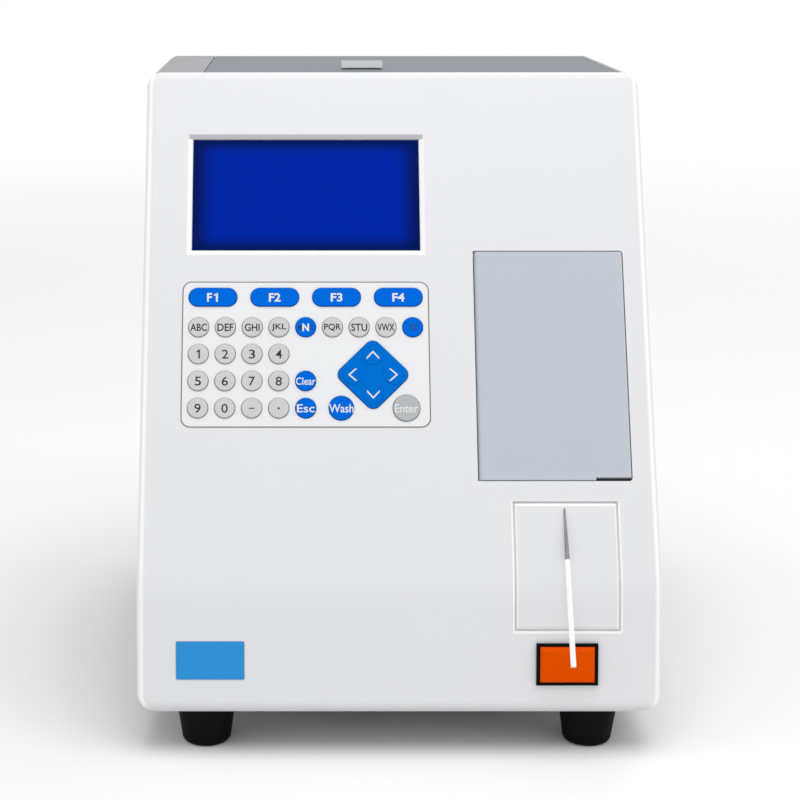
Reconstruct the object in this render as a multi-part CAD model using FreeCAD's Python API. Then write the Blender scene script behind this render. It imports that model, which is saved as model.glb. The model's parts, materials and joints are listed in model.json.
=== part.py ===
import FreeCAD
import Part
import math
import os

Vector = FreeCAD.Vector

# Benchtop chemistry analyzer, in millimetres. X runs across the front, Y from
# front to back and Z up. The case is drawn with its lower front edge on y = 0,
# and the finished model is moved so that its box stands centred on the origin.

# The case: its box, and where its leaning front bends and ends.
CASE_W = 242.0
CASE_D = 277.4
CASE_H = 282.1
FOOT_H = 20.2
BEND_RISE = 59.7
BEND_SETBACK = 11.65
TOP_SETBACK_SHARE = 0.4743
BEND_R = 60.0
CORNER_TOP_R = 6.5
CORNER_BOTTOM_R = 8.5
RIM_R = 4.5
REAR_RIM_R = 2.0
SHELL_T = 2.5
BEZEL_DEPTH = 10.0
TRAY_WALL_H = 35.0
SEAM_GAP = 0.4
OVERRUN = 40.0
FRONT_FACING_SHARE = 0.4
SAME_LEVEL = 0.001

# Clearances between pieces.
SLIP = 0.05
PLAY = 0.3
REST_GAP = 0.1

# The top lid, hinged at the back, and the bay under it.
LID_FROM_LEFT = 27.6
LID_FROM_RIGHT = 8.0
LID_T = 3.0
LID_GAP = 0.5
LID_BARREL_R = 4.0
LID_PIN_R = 1.5
LID_PIN_L = 9.0
LID_RIB_D = 1.6
PULL_FROM_LEFT = 79.2
PULL_W = 21.0
PULL_D = 5.0
PULL_H = 4.6
PULL_LIP_H = 3.8
PULL_POST_T = 1.6
PULL_SETBACK = 20.0
BAY_LEDGE = 7.0
BAY_FLANGE_T = 1.5
BAY_WALL = 2.0
BAY_DEPTH = 72.0
BAY_FLANGE = 5.0

# The display in the leaning front; U is across and V up the slope. Places are
# measured from the sides of the case and from the top of the slope.
DISPLAY_FROM_LEFT = 78.2
DISPLAY_FROM_TOP = 62.7
DISPLAY_W = 109.7
DISPLAY_H = 56.8
DISPLAY_BEVEL = 2.5
DISPLAY_DEPTH = 1.2
GLASS_MARGIN = 2.5
GLASS_T = 2.0
GLASS_CORNER_R = 1.0

# The keypad: overlay plate and its keys.
KEYPAD_FROM_LEFT = 78.0
KEYPAD_BELOW_DISPLAY = 80.4
KEYPAD_W = 117.3
KEYPAD_H = 71.5
KEYPAD_CORNER_R = 4.5
OVERLAY_T = 1.2
OVERLAY_PROUD = 0.2
OVERLAY_LEDGE = 1.6
KEY_PITCH = 12.7
KEY_ROW_PITCH = 13.2
KEY_TOP_ROW_V = 13.1
KEY_D = 10.1
F_KEY_PITCH = 29.45
F_KEY_COUNT = 4
F_KEY_W = 23.4
F_KEY_H = 9.5
F_KEY_V = 28.0
WASH_KEY_D = 12.1
WASH_KEY_U = 16.7
ENTER_KEY_D = 13.1
ENTER_KEY_U = 47.3
PAD_SIDE = 26.1
PAD_CORNER_R = 4.2
PAD_U = 31.75
PAD_V = -10.2
PILL_CORNER_SHARE = 0.48
KEY_PROUD = 0.8
KEY_EDGE_R = 0.35
KEY_FLANGE = 0.6
KEY_FLANGE_T = 1.0
KEY_TRAVEL = 0.6
KEY_LETTER_NAMES = ("abc", "def", "ghi", "jkl", "mno", "pqr", "stu", "vwx", "yz")
KEY_DIGIT_ROWS = (("1", "2", "3", "4"), ("5", "6", "7", "8"), ("9", "0", "minus", "dot"))

# The board behind the display and the keys.
BOARD_T = 1.6
BOARD_STANDOFF = 4.0
BOARD_MARGIN = 5.0
BOARD_POST_R = 3.0
SWITCH_SIZE = 6.0
LCD_MARGIN = 3.0

# The pump door, its hinge and the pump behind it.
DOOR_FROM_RIGHT = 47.9
DOOR_BOTTOM = 48.6
DOOR_FROM_TOP = 92.1
DOOR_W = 71.0
DOOR_T = 2.2
DOOR_GAP = 0.45
DOOR_CORNER_R = 1.2
DOOR_BARREL_R = 2.4
DOOR_PIN_R = 1.0
DOOR_PIN_L = 9.0
DOOR_BOSS_L = 6.0
NOTCH_W = 16.5
NOTCH_H = 1.3
PUMP_LEDGE = 3.0
PUMP_FLANGE = 6.0
PUMP_FLANGE_T = 2.0
PUMP_WALL = 2.0
PUMP_DEPTH = 24.0
PUMP_TRACK_R = 26.0
PUMP_TRACK_T = 4.0
PUMP_TRACK_H = 15.0
ROTOR_R = 18.5
ROTOR_PLATE_T = 2.5
ROTOR_H = 14.0
ROTOR_LIFT = 1.0
ROLLER_R = 4.5
ROLLER_COUNT = 4
ROTOR_HUB_R = 6.0
SHAFT_R = 2.5
SHAFT_HOLD = 9.0
GEARBOX_R = 18.0
GEARBOX_L = 20.0
MOTOR_R = 15.0
MOTOR_L = 28.0

# The plate around the sipper, which crosses the bend, and the tube in front of it.
PLATE_FROM_RIGHT = 43.7
PLATE_W = 47.6
PLATE_TOP_V = 37.9
PLATE_BOTTOM_V = 39.6
PLATE_RIM_R = 1.4
GROOVE_W = 0.6
GROOVE_DEPTH = 1.6
SIPPER_FROM_RIGHT = 44.2
SIPPER_BELOW_TOP = 2.95
SIPPER_OFF_PLATE = 8.3
NEEDLE_TIP_R = 0.35
NEEDLE_R = 1.05
NEEDLE_BORE_R = 0.2
NEEDLE_INSIDE_L = 16.0
NEEDLE_TAPER_L = 24.7
SLEEVE_R = 1.25
SLEEVE_BORE_R = 0.6
SLEEVE_L = 50.1
SLEEVE_GRIP_L = 12.0

# The aspirate switch and the badge plate, on the lower front.
SWITCH_FROM_RIGHT = 44.0
SWITCH_RISE = 23.8
SWITCH_W = 28.3
SWITCH_H = 19.3
SWITCH_FRAME = 1.4
SWITCH_BAR = 1.2
SWITCH_PROUD = 1.6
SWITCH_BODY_L = 18.0
SWITCH_BODY_INSET = 0.5
SWITCH_FLOOR_T = 2.0
CAP_PROUD = 1.8
CAP_BEVEL = 1.6
CAP_TRAVEL = 2.0
CAP_STEM_R = 3.0
BADGE_FROM_LEFT = 34.0
BADGE_RISE = 25.4
BADGE_W = 31.2
BADGE_H = 17.4
BADGE_CORNER_R = 0.5
BADGE_T = 1.0
BADGE_PROUD = 0.3

# Feet and screws.
FOOT_FROM_SIDE = 31.2
FOOT_FRONT_Y = 20.4
FOOT_FROM_BACK = 30.0
FOOT_TOP_D = 28.0
FOOT_BOTTOM_D = 22.2
FOOT_EDGE_R = 2.5
FOOT_COUNTERBORE_R = 4.5
FOOT_COUNTERBORE_L = 12.0
SCREW_R = 2.0
SCREW_HEAD_R = 3.5
SCREW_HEAD_T = 2.4
SCREW_SOCKET_R = 1.3
SCREW_SOCKET_L = 1.4
FOOT_BOSS_R = 4.5
FOOT_BOSS_H = 6.0
PANEL_SCREW_L = 8.0
PANEL_BOSS = 8.0

# The rear panel and what sits in it.
REAR_T = 2.0
REAR_INSET = 1.5
FAN_SIZE = 60.0
FAN_T = 15.0
FAN_FROM_RIGHT = 59.0
FAN_BELOW_BAY = 24.2
FAN_BORE_R = 28.0
FAN_BLADE_R = 27.0
FAN_HUB_R = 12.0
FAN_PIN_R = 1.5
FAN_PIN_L = 9.0
FAN_STRUT_W = 4.0
FAN_STRUT_T = 3.0
FAN_BLADE_T = 1.6
FAN_BLADE_COUNT = 7
FAN_BLADE_TURN = 35.0
FAN_BLADE_DEPTH_SHARE = 0.9
FAN_SLOT_COUNT = 8
FAN_SLOT_H = 3.5
INLET_FROM_LEFT = 43.0
INLET_RISE = 62.0
INLET_W = 31.0
INLET_H = 52.0
INLET_FLANGE_T = 2.5
INLET_LIP = 2.0
INLET_BODY_L = 24.0
INLET_CORNER_R = 3.0
SOCKET_W = 24.4
SOCKET_H = 16.6
SOCKET_L = 17.0
SOCKET_DROP = 10.5
BLADE_W = 4.0
BLADE_T = 2.0
BLADE_L = 11.0
BLADE_PITCH = 7.0
ROCKER_W = 20.0
ROCKER_H = 11.0
ROCKER_RISE = 14.0
ROCKER_T = 7.0
ROCKER_PIVOT_SHARE = 0.25
ROCKER_TILT = 8.0
ROCKER_CREST = 1.2
ROCKER_PIN_R = 1.2
ROCKER_PIN_L = 1.6

# Optics on the floor of the bay.
OPTICS_FROM_LID_RIGHT = 105.0
OPTICS_W = 62.0
OPTICS_D = 60.0
OPTICS_H = 44.0
OPTICS_BACK_GAP = 16.0
WHEEL_R = 27.0
WHEEL_T = 3.0
WHEEL_SLOT = 5.0
WHEEL_SLOT_INSET = 12.0
WHEEL_AXIS_H = 30.0
FILTER_R = 4.5
FILTER_COUNT = 8
FILTER_PCD_R = 20.0
WHEEL_SHAFT_R = 2.5
WHEEL_SHAFT_L = 22.0
STEPPER_SIZE = 28.0
STEPPER_L = 26.0
CELL_W = 13.0
CELL_D = 13.0
CELL_DEEP = 26.0
CELL_FROM_RIGHT = 20.8
LAMP_R = 13.0
LAMP_L = 22.0
LAMP_BORE_R = 6.0

# Electronics on the tray.
MAIN_W = 150.0
MAIN_D = 110.0
MAIN_FROM_LEFT = 96.0
MAIN_TO_SUPPLY = 20.0
MAIN_LIFT = 8.0
MAIN_POST_R = 3.5
SUPPLY_W = 96.0
SUPPLY_D = 60.0
SUPPLY_H = 38.0
SUPPLY_FROM_RIGHT = 101.0
SUPPLY_FROM_BACK = 22.0
SUPPLY_SHEET_T = 1.5
SUPPLY_CORE_GAP = 6.0
SUPPLY_SLOT_GAP = 9.0
SUPPLY_SLOT_COUNT = 9
SUPPLY_SLOT_W = 3.0

# Parts on the main board, as shares of its sides: place across and back, width, depth and height.
CHIP_SHARES = ((0.25, 0.35, 0.16, 0.20, 0.025), (0.55, 0.30, 0.13, 0.16, 0.025),
               (0.50, 0.70, 0.20, 0.12, 0.03), (0.80, 0.55, 0.10, 0.30, 0.12),
               (0.12, 0.75, 0.08, 0.25, 0.08), (0.80, 0.90, 0.20, 0.08, 0.09))
CAPACITOR_COUNT = 3
CAPACITOR_START_SHARE = 0.28
CAPACITOR_PITCH_SHARE = 0.08
CAPACITOR_DEPTH_SHARE = 0.85
CAPACITOR_R_SHARE = 0.025
CAPACITOR_H_SHARE = 0.09

# Angles, places and lines that the case sizes fix.
HALF_W = CASE_W / 2
TOP_SETBACK = CASE_D * TOP_SETBACK_SHARE
LOWER_LEAN = math.atan2(BEND_SETBACK, BEND_RISE)
UPPER_LEAN = math.atan2(TOP_SETBACK - BEND_SETBACK, CASE_H - BEND_RISE)
SLOPE_L = math.hypot(TOP_SETBACK - BEND_SETBACK, CASE_H - BEND_RISE)
CASE_TOP = FOOT_H + CASE_H
INNER_HALF_W = HALF_W - SHELL_T
LID_LEFT = LID_FROM_LEFT - HALF_W
LID_RIGHT = HALF_W - LID_FROM_RIGHT
PULL_U = LID_LEFT + PULL_FROM_LEFT
DISPLAY_U = DISPLAY_FROM_LEFT - HALF_W
DISPLAY_V = SLOPE_L - DISPLAY_FROM_TOP
KEYPAD_U = KEYPAD_FROM_LEFT - HALF_W
KEYPAD_V = DISPLAY_V - KEYPAD_BELOW_DISPLAY
PLATE_U = HALF_W - PLATE_FROM_RIGHT
SIPPER_U = HALF_W - SIPPER_FROM_RIGHT
SWITCH_U = HALF_W - SWITCH_FROM_RIGHT
BADGE_U = BADGE_FROM_LEFT - HALF_W
FOOT_U = HALF_W - FOOT_FROM_SIDE
FOOT_REAR_Y = CASE_D - FOOT_FROM_BACK
LID_AXIS_Y = CASE_D - LID_BARREL_R
LID_AXIS_Z = CASE_TOP - LID_BARREL_R
LID_FRONT_Y = TOP_SETBACK + BEZEL_DEPTH / math.cos(UPPER_LEAN) + LID_GAP
LID_UNDER_Z = CASE_TOP - LID_T
BAY_FLANGE_Z = LID_UNDER_Z - PLAY - BAY_FLANGE_T
LEDGE_Z = BAY_FLANGE_Z - SHELL_T
BAY_LEFT = LID_LEFT + BAY_LEDGE
BAY_RIGHT = LID_RIGHT - BAY_LEDGE
BAY_FRONT = LID_FRONT_Y + BAY_LEDGE
BAY_BACK = LID_AXIS_Y - LID_BARREL_R - LID_GAP - BAY_LEDGE
BAY_FLOOR_Z = BAY_FLANGE_Z - BAY_DEPTH
REAR_FACE_Y = CASE_D - REAR_INSET
REAR_INNER_Y = REAR_FACE_Y - REAR_T
REAR_TOP_Z = LID_AXIS_Z - LID_BARREL_R - LID_GAP
TRAY_FLOOR_Z = FOOT_H + SHELL_T
SEAM_Z = FOOT_H + TRAY_WALL_H
BOARD_FRONT = -SHELL_T - BOARD_STANDOFF
DOOR_U = HALF_W - DOOR_FROM_RIGHT
DOOR_LEFT = DOOR_U - DOOR_W / 2
DOOR_RIGHT = DOOR_U + DOOR_W / 2
DOOR_TOP = SLOPE_L - DOOR_FROM_TOP
DOOR_H = DOOR_TOP - DOOR_BOTTOM
DOOR_V = DOOR_BOTTOM + DOOR_H / 2
DOOR_AXIS_U = DOOR_LEFT + DOOR_BARREL_R
PUMP_FRONT = -SHELL_T - REST_GAP
PUMP_SEAT = PUMP_FRONT - PUMP_FLANGE_T
PUMP_FLOOR = PUMP_SEAT - PUMP_DEPTH
PUMP_BACK = PUMP_FLOOR - PUMP_WALL
FAN_X = HALF_W - FAN_FROM_RIGHT
FAN_Z = BAY_FLOOR_Z - FAN_BELOW_BAY - FAN_SIZE / 2
INLET_X = INLET_FROM_LEFT - HALF_W
OPTICS_X = LID_RIGHT - OPTICS_FROM_LID_RIGHT
MAIN_X = MAIN_FROM_LEFT - HALF_W
SUPPLY_X = HALF_W - SUPPLY_FROM_RIGHT
SUPPLY_Y = CASE_D - SUPPLY_FROM_BACK - SUPPLY_D / 2
MAIN_Y = SUPPLY_Y - SUPPLY_D / 2 - MAIN_TO_SUPPLY - MAIN_D / 2


def block(x0, x1, y0, y1, z0, z1):
    """A box between two corners."""
    return Part.makeBox(x1 - x0, y1 - y0, z1 - z0, Vector(x0, y0, z0))


def disc(radius, z0, z1, x=0.0, y=0.0):
    """An upright cylinder."""
    return Part.makeCylinder(radius, z1 - z0, Vector(x, y, z0))


def rod_x(radius, x0, x1, y, z):
    """A cylinder along X."""
    return Part.makeCylinder(radius, x1 - x0, Vector(x0, y, z), Vector(1, 0, 0))


def rod_y(radius, y0, y1, x, z):
    """A cylinder along Y."""
    return Part.makeCylinder(radius, y1 - y0, Vector(x, y0, z), Vector(0, 1, 0))


def rounded_wire(w, h, r, z):
    """A rectangle with round corners, centred, flat at height z."""
    a = w / 2
    b = h / 2
    s = r * math.sqrt(0.5)
    corners = ((a - r, b - r, 1, 1), (r - a, b - r, -1, 1), (r - a, r - b, -1, -1), (a - r, r - b, 1, -1))
    starts = (Vector(a, b - r, z), Vector(r - a, b, z), Vector(-a, r - b, z), Vector(a - r, -b, z))
    ends = (Vector(a - r, b, z), Vector(-a, b - r, z), Vector(r - a, -b, z), Vector(a, r - b, z))
    edges = []
    for i, (cx, cy, sx, sy) in enumerate(corners):
        middle = Vector(cx + sx * s, cy + sy * s, z)
        edges.append(Part.Arc(starts[i], middle, ends[i]).toShape())
        edges.append(Part.LineSegment(ends[i], starts[(i + 1) % 4]).toShape())
    return Part.Wire(edges)


def rounded_plate(w, h, r, z0, z1, x=0.0, y=0.0):
    """A plate with round corners between two heights."""
    plate = Part.Face(rounded_wire(w, h, r, z0)).extrude(Vector(0, 0, z1 - z0))
    plate.translate(Vector(x, y, 0))
    return plate


def meet(p, lean_p, q, lean_q):
    """Where two lines in the Y-Z plane cross; a lean is measured from upright."""
    dp = (math.sin(lean_p), math.cos(lean_p))
    dq = (math.sin(lean_q), math.cos(lean_q))
    det = dq[0] * dp[1] - dp[0] * dq[1]
    t = ((q[1] - p[1]) * dq[0] - (q[0] - p[0]) * dq[1]) / det
    return (p[0] + t * dp[0], p[1] + t * dp[1])


def front_line(inset):
    """Bend point of the front, moved into the case by inset, and a point on each lean."""
    low = (inset * math.cos(LOWER_LEAN), FOOT_H - inset * math.sin(LOWER_LEAN))
    high_y = TOP_SETBACK + inset * math.cos(UPPER_LEAN)
    high = (high_y, CASE_TOP - inset * math.sin(UPPER_LEAN))
    return low, meet(low, LOWER_LEAN, high, UPPER_LEAN), high


def profile_prism(inset, bottom_z, top_z, back_y):
    """The case's side profile as a solid across X, its front moved in by inset."""
    low, bend, high = front_line(inset)
    level = math.pi / 2
    p0 = meet(low, LOWER_LEAN, (0, bottom_z), level)
    p2 = meet(high, UPPER_LEAN, (0, top_z), level)
    radius = BEND_R - inset
    reach = radius * math.tan((UPPER_LEAN - LOWER_LEAN) / 2)
    a = (bend[0] - reach * math.sin(LOWER_LEAN), bend[1] - reach * math.cos(LOWER_LEAN))
    b = (bend[0] + reach * math.sin(UPPER_LEAN), bend[1] + reach * math.cos(UPPER_LEAN))
    centre = (a[0] + radius * math.cos(LOWER_LEAN), a[1] - radius * math.sin(LOWER_LEAN))
    mid = (LOWER_LEAN + UPPER_LEAN) / 2
    m = (centre[0] - radius * math.cos(mid), centre[1] + radius * math.sin(mid))
    x = -CASE_W
    points = [Vector(x, y, z) for y, z in (p0, a, m, b, p2, (back_y, top_z), (back_y, bottom_z))]
    edges = [Part.LineSegment(points[0], points[1]).toShape()]
    edges.append(Part.Arc(points[1], points[2], points[3]).toShape())
    for i in (3, 4, 5):
        edges.append(Part.LineSegment(points[i], points[i + 1]).toShape())
    edges.append(Part.LineSegment(points[6], points[0]).toShape())
    return Part.Face(Part.Wire(edges)).extrude(Vector(2 * CASE_W, 0, 0))


def section_prism(inset, y0, y1):
    """The case seen from the front, round at its corners, as a solid along Y."""
    half = HALF_W - inset
    low = FOOT_H + inset
    high = CASE_TOP - inset
    edges = []
    arcs = ((half, high, CORNER_TOP_R, 1), (-half, high, CORNER_TOP_R, 1),
            (-half, low, CORNER_BOTTOM_R, -1), (half, low, CORNER_BOTTOM_R, -1))
    ends = []
    for x, z, r, up in arcs:
        side = math.copysign(1, x)
        radius = r - inset
        c = (x - side * radius, z - up * radius)
        s = radius * math.sqrt(0.5)
        flank = Vector(x, y0, c[1])
        level = Vector(c[0], y0, z)
        middle = Vector(c[0] + side * s, y0, c[1] + up * s)
        first, last = (flank, level) if side * up > 0 else (level, flank)
        ends.append((first, last))
        edges.append(Part.Arc(first, middle, last).toShape())
    for i in range(4):
        edges.append(Part.LineSegment(ends[i][1], ends[(i + 1) % 4][0]).toShape())
    return Part.Face(Part.Wire(Part.__sortEdges__(edges))).extrude(Vector(0, y1 - y0, 0))


def rim_edges(solid, axis_y):
    """Edges around the faces that look forwards (axis_y < 0) or backwards."""
    seen = []
    for face in solid.Faces:
        u0, u1, v0, v1 = face.ParameterRange
        if face.normalAt((u0 + u1) / 2, (v0 + v1) / 2).y * axis_y > FRONT_FACING_SHARE:
            seen.extend(face.Edges)
    return [e for e in seen if sum(1 for other in seen if e.isSame(other)) == 1]


def case_solid():
    """The whole outside of the case, solid, with its rounded rims."""
    body = profile_prism(0.0, FOOT_H, CASE_TOP, CASE_D)
    body = body.common(section_prism(0.0, -OVERRUN, CASE_D + OVERRUN)).Solids[0]
    body = body.makeFillet(RIM_R, rim_edges(body, -1))
    return body.makeFillet(REAR_RIM_R, rim_edges(body, 1))


def case_hollow():
    """The room inside the case walls, open to the back."""
    inner = profile_prism(SHELL_T, FOOT_H + SHELL_T, CASE_TOP - SHELL_T, CASE_D + OVERRUN)
    return inner.common(section_prism(SHELL_T, -OVERRUN, CASE_D + 2 * OVERRUN))


def behind_bezel():
    """Everything behind the plane where the front moulding ends."""
    return profile_prism(BEZEL_DEPTH, -OVERRUN, CASE_TOP + OVERRUN, CASE_D + 2 * OVERRUN)


def lean_frame(origin_y, origin_z, lean):
    """Placement whose X is across, Y up the leaning face and Z out of it."""
    turn = FreeCAD.Rotation(Vector(1, 0, 0), 90 - math.degrees(lean))
    return FreeCAD.Placement(Vector(0, origin_y, origin_z), turn)


SLOPE = lean_frame(BEND_SETBACK, FOOT_H + BEND_RISE, UPPER_LEAN)
APRON = lean_frame(0.0, FOOT_H, LOWER_LEAN)


def set_on(shape, frame):
    """A copy of a shape drawn flat, laid on a leaning face."""
    placed = shape.copy()
    placed.Placement = frame.multiply(placed.Placement)
    return placed


def frustum(w0, h0, z0, w1, h1, z1, x, y):
    """A four-sided solid that tapers from one rectangle to another."""
    wires = []
    for w, h, z in ((w0, h0, z0), (w1, h1, z1)):
        a = w / 2
        b = h / 2
        signs = ((1, 1), (-1, 1), (-1, -1), (1, -1), (1, 1))
        points = [Vector(x + sx * a, y + sy * b, z) for sx, sy in signs]
        wires.append(Part.makePolygon(points))
    return Part.makeLoft(wires, True, True)


def key_places():
    """Every key as name, kind, centre in the keypad, width and height."""
    places = []
    for i in range(F_KEY_COUNT):
        u = (i - (F_KEY_COUNT - 1) / 2) * F_KEY_PITCH
        places.append((f"key_f{i + 1}", "pill", u, F_KEY_V, F_KEY_W, F_KEY_H))
    for i, name in enumerate(KEY_LETTER_NAMES):
        places.append((f"key_{name}", "round", (i - 4) * KEY_PITCH, KEY_TOP_ROW_V, KEY_D, KEY_D))
    for row, names in enumerate(KEY_DIGIT_ROWS):
        v = KEY_TOP_ROW_V - (row + 1) * KEY_ROW_PITCH
        for i, name in enumerate(names):
            places.append((f"key_{name}", "round", (i - 4) * KEY_PITCH, v, KEY_D, KEY_D))
    third_v = KEY_TOP_ROW_V - 2 * KEY_ROW_PITCH
    last_v = KEY_TOP_ROW_V - 3 * KEY_ROW_PITCH
    places.append(("key_clear", "round", 0.0, third_v, KEY_D, KEY_D))
    places.append(("key_escape", "round", 0.0, last_v, KEY_D, KEY_D))
    places.append(("key_wash", "round", WASH_KEY_U, last_v, WASH_KEY_D, WASH_KEY_D))
    places.append(("key_enter", "round", ENTER_KEY_U, last_v, ENTER_KEY_D, ENTER_KEY_D))
    places.append(("key_arrows", "pad", PAD_U, PAD_V, PAD_SIDE, PAD_SIDE))
    return places


def key_outline(kind, u, v, w, h, grow, z0, z1):
    """A key's outline, wider by grow all round, as a solid between two heights."""
    x = KEYPAD_U + u
    y = KEYPAD_V + v
    if kind == "round":
        return disc(w / 2 + grow, z0, z1, x, y)
    if kind == "pill":
        height = h + 2 * grow
        return rounded_plate(w + 2 * grow, height, height * PILL_CORNER_SHARE, z0, z1, x, y)
    pad = rounded_plate(w + 2 * grow, h + 2 * grow, PAD_CORNER_R + grow, z0, z1)
    pad.rotate(Vector(0, 0, 0), Vector(0, 0, 1), 45)
    pad.translate(Vector(x, y, 0))
    return pad


def top_rim(solid):
    """Edges of the face that lies highest on a flat-drawn piece."""
    high = max(face.CenterOfMass.z for face in solid.Faces)
    return [e for f in solid.Faces if high - f.CenterOfMass.z < SAME_LEVEL for e in f.Edges]


def key_cap(kind, u, v, w, h):
    """One key: a cap through the overlay and a flange that holds it under."""
    under = OVERLAY_PROUD - OVERLAY_T - PLAY
    cap = key_outline(kind, u, v, w, h, -PLAY, under - KEY_FLANGE_T, OVERLAY_PROUD + KEY_PROUD)
    cap = cap.makeFillet(KEY_EDGE_R, top_rim(cap))
    flange = key_outline(kind, u, v, w, h, KEY_FLANGE, under - KEY_FLANGE_T, under)
    return set_on(cap.fuse(flange).removeSplitter(), SLOPE)


def keypad_overlay():
    """The printed plate that the keys stand through."""
    plate = rounded_plate(KEYPAD_W, KEYPAD_H, KEYPAD_CORNER_R, OVERLAY_PROUD - OVERLAY_T, OVERLAY_PROUD,
                          KEYPAD_U, KEYPAD_V)
    holes = [key_outline(kind, u, v, w, h, 0.0, -OVERRUN, OVERRUN) for _, kind, u, v, w, h in key_places()]
    return set_on(plate.cut(holes), SLOPE)


def board_box():
    """Edges of the front board on the slope: left, right, bottom, top."""
    left = KEYPAD_U - KEYPAD_W / 2 - BOARD_MARGIN
    right = KEYPAD_U + KEYPAD_W / 2 + BOARD_MARGIN
    bottom = KEYPAD_V - KEYPAD_H / 2 - BOARD_MARGIN
    top = DISPLAY_V + DISPLAY_H / 2 + 2 * BOARD_MARGIN
    return left, right, bottom, top


def board_corners():
    """Screw places of the front board."""
    left, right, bottom, top = board_box()
    inset = BOARD_POST_R
    return [(x, y) for x in (left + inset, right - inset) for y in (bottom + inset, top - inset)]


def panel_board():
    """Circuit board with the display module and a switch under every key."""
    left, right, bottom, top = board_box()
    board = block(left, right, bottom, top, BOARD_FRONT - BOARD_T, BOARD_FRONT)
    lcd_w = DISPLAY_W + 2 * LCD_MARGIN
    lcd_h = DISPLAY_H + 2 * LCD_MARGIN
    parts = [rounded_plate(lcd_w, lcd_h, GLASS_CORNER_R, BOARD_FRONT, -DISPLAY_DEPTH - GLASS_T - REST_GAP,
                           DISPLAY_U, DISPLAY_V)]
    switch_top = OVERLAY_PROUD - OVERLAY_T - PLAY - KEY_FLANGE_T - KEY_TRAVEL - SLIP
    half = SWITCH_SIZE / 2
    for _, kind, u, v, w, h in key_places():
        spots = [(0.0, 0.0)]
        if kind == "pad":
            reach = w / 2 - SWITCH_SIZE / 2
            spots = [(reach, 0.0), (-reach, 0.0), (0.0, reach), (0.0, -reach)]
        for du, dv in spots:
            x = KEYPAD_U + u + du
            y = KEYPAD_V + v + dv
            parts.append(block(x - half, x + half, y - half, y + half, BOARD_FRONT, switch_top))
    return set_on(board.fuse(parts).removeSplitter(), SLOPE)


def display_window():
    """Clear glass behind the bevelled opening."""
    glass = rounded_plate(DISPLAY_W + 2 * GLASS_MARGIN, DISPLAY_H + 2 * GLASS_MARGIN, GLASS_CORNER_R,
                          -DISPLAY_DEPTH - GLASS_T, -DISPLAY_DEPTH, DISPLAY_U, DISPLAY_V)
    return set_on(glass, SLOPE)


def display_opening():
    """The bevelled hole for the display, and the pocket behind it for the glass."""
    hole = frustum(DISPLAY_W, DISPLAY_H, -DISPLAY_DEPTH, DISPLAY_W + 2 * DISPLAY_BEVEL,
                   DISPLAY_H + 2 * DISPLAY_BEVEL, 0.0, DISPLAY_U, DISPLAY_V)
    margin = 2 * (GLASS_MARGIN + REST_GAP)
    pocket = rounded_plate(DISPLAY_W + margin, DISPLAY_H + margin, GLASS_CORNER_R,
                           -SHELL_T - REST_GAP, -DISPLAY_DEPTH, DISPLAY_U, DISPLAY_V)
    return set_on(hole.fuse(pocket), SLOPE)


def keypad_opening():
    """A rebate for the overlay and a smaller hole for the keys."""
    rebate = rounded_plate(KEYPAD_W + 2 * REST_GAP, KEYPAD_H + 2 * REST_GAP, KEYPAD_CORNER_R,
                           OVERLAY_PROUD - OVERLAY_T, OVERRUN, KEYPAD_U, KEYPAD_V)
    hole = rounded_plate(KEYPAD_W - 2 * OVERLAY_LEDGE, KEYPAD_H - 2 * OVERLAY_LEDGE, KEYPAD_CORNER_R,
                         BOARD_FRONT, OVERRUN, KEYPAD_U, KEYPAD_V)
    return set_on(rebate.fuse(hole), SLOPE)


def door_opening():
    """The hole that the pump door closes."""
    hole = rounded_plate(DOOR_W + 2 * DOOR_GAP, DOOR_H + 2 * DOOR_GAP, DOOR_CORNER_R + DOOR_GAP,
                         -SHELL_T - BOARD_STANDOFF, OVERRUN, DOOR_U, DOOR_V)
    hinge_side = block(DOOR_LEFT - DOOR_GAP, DOOR_AXIS_U, DOOR_BOTTOM - DOOR_GAP, DOOR_TOP + DOOR_GAP,
                       -SHELL_T - BOARD_STANDOFF, OVERRUN)
    return set_on(hole.fuse(hinge_side).removeSplitter(), SLOPE)


def door_bosses():
    """Blocks behind the front that hold the door's two pins."""
    low = -DOOR_BARREL_R - DOOR_PIN_R - DOOR_T
    bosses = []
    for end, way in ((DOOR_BOTTOM - DOOR_GAP, -1), (DOOR_TOP + DOOR_GAP, 1)):
        y0, y1 = sorted((end, end + way * DOOR_BOSS_L))
        bosses.append(block(DOOR_AXIS_U - DOOR_BARREL_R, DOOR_AXIS_U + DOOR_BARREL_R, y0, y1, low, -SHELL_T))
    return set_on(Part.makeCompound(bosses), SLOPE)


def door_pin(way, radius):
    """One door pin, along the slope, half in its boss and half in the door."""
    end = DOOR_V + way * (DOOR_H / 2 + DOOR_GAP)
    start = end - DOOR_PIN_L / 2
    pin = Part.makeCylinder(radius, DOOR_PIN_L, Vector(DOOR_AXIS_U, start, -DOOR_BARREL_R), Vector(0, 1, 0))
    return set_on(pin, SLOPE)


def lid_pin(x0, x1, radius):
    """One lid pin along the lid's hinge line."""
    return rod_x(radius, x0, x1, LID_AXIS_Y, LID_AXIS_Z)


def lid_pins(radius):
    """Both lid pins, each half in the lid and half in the cover."""
    half = LID_PIN_L / 2
    left = lid_pin(LID_LEFT - half, LID_LEFT + half, radius)
    right = lid_pin(LID_RIGHT - half, LID_RIGHT + half, radius)
    return [left, right]


def hinge_pins():
    """Steel pins of the lid and of the door."""
    return Part.makeCompound(lid_pins(LID_PIN_R) + [door_pin(-1, DOOR_PIN_R), door_pin(1, DOOR_PIN_R)])


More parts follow.
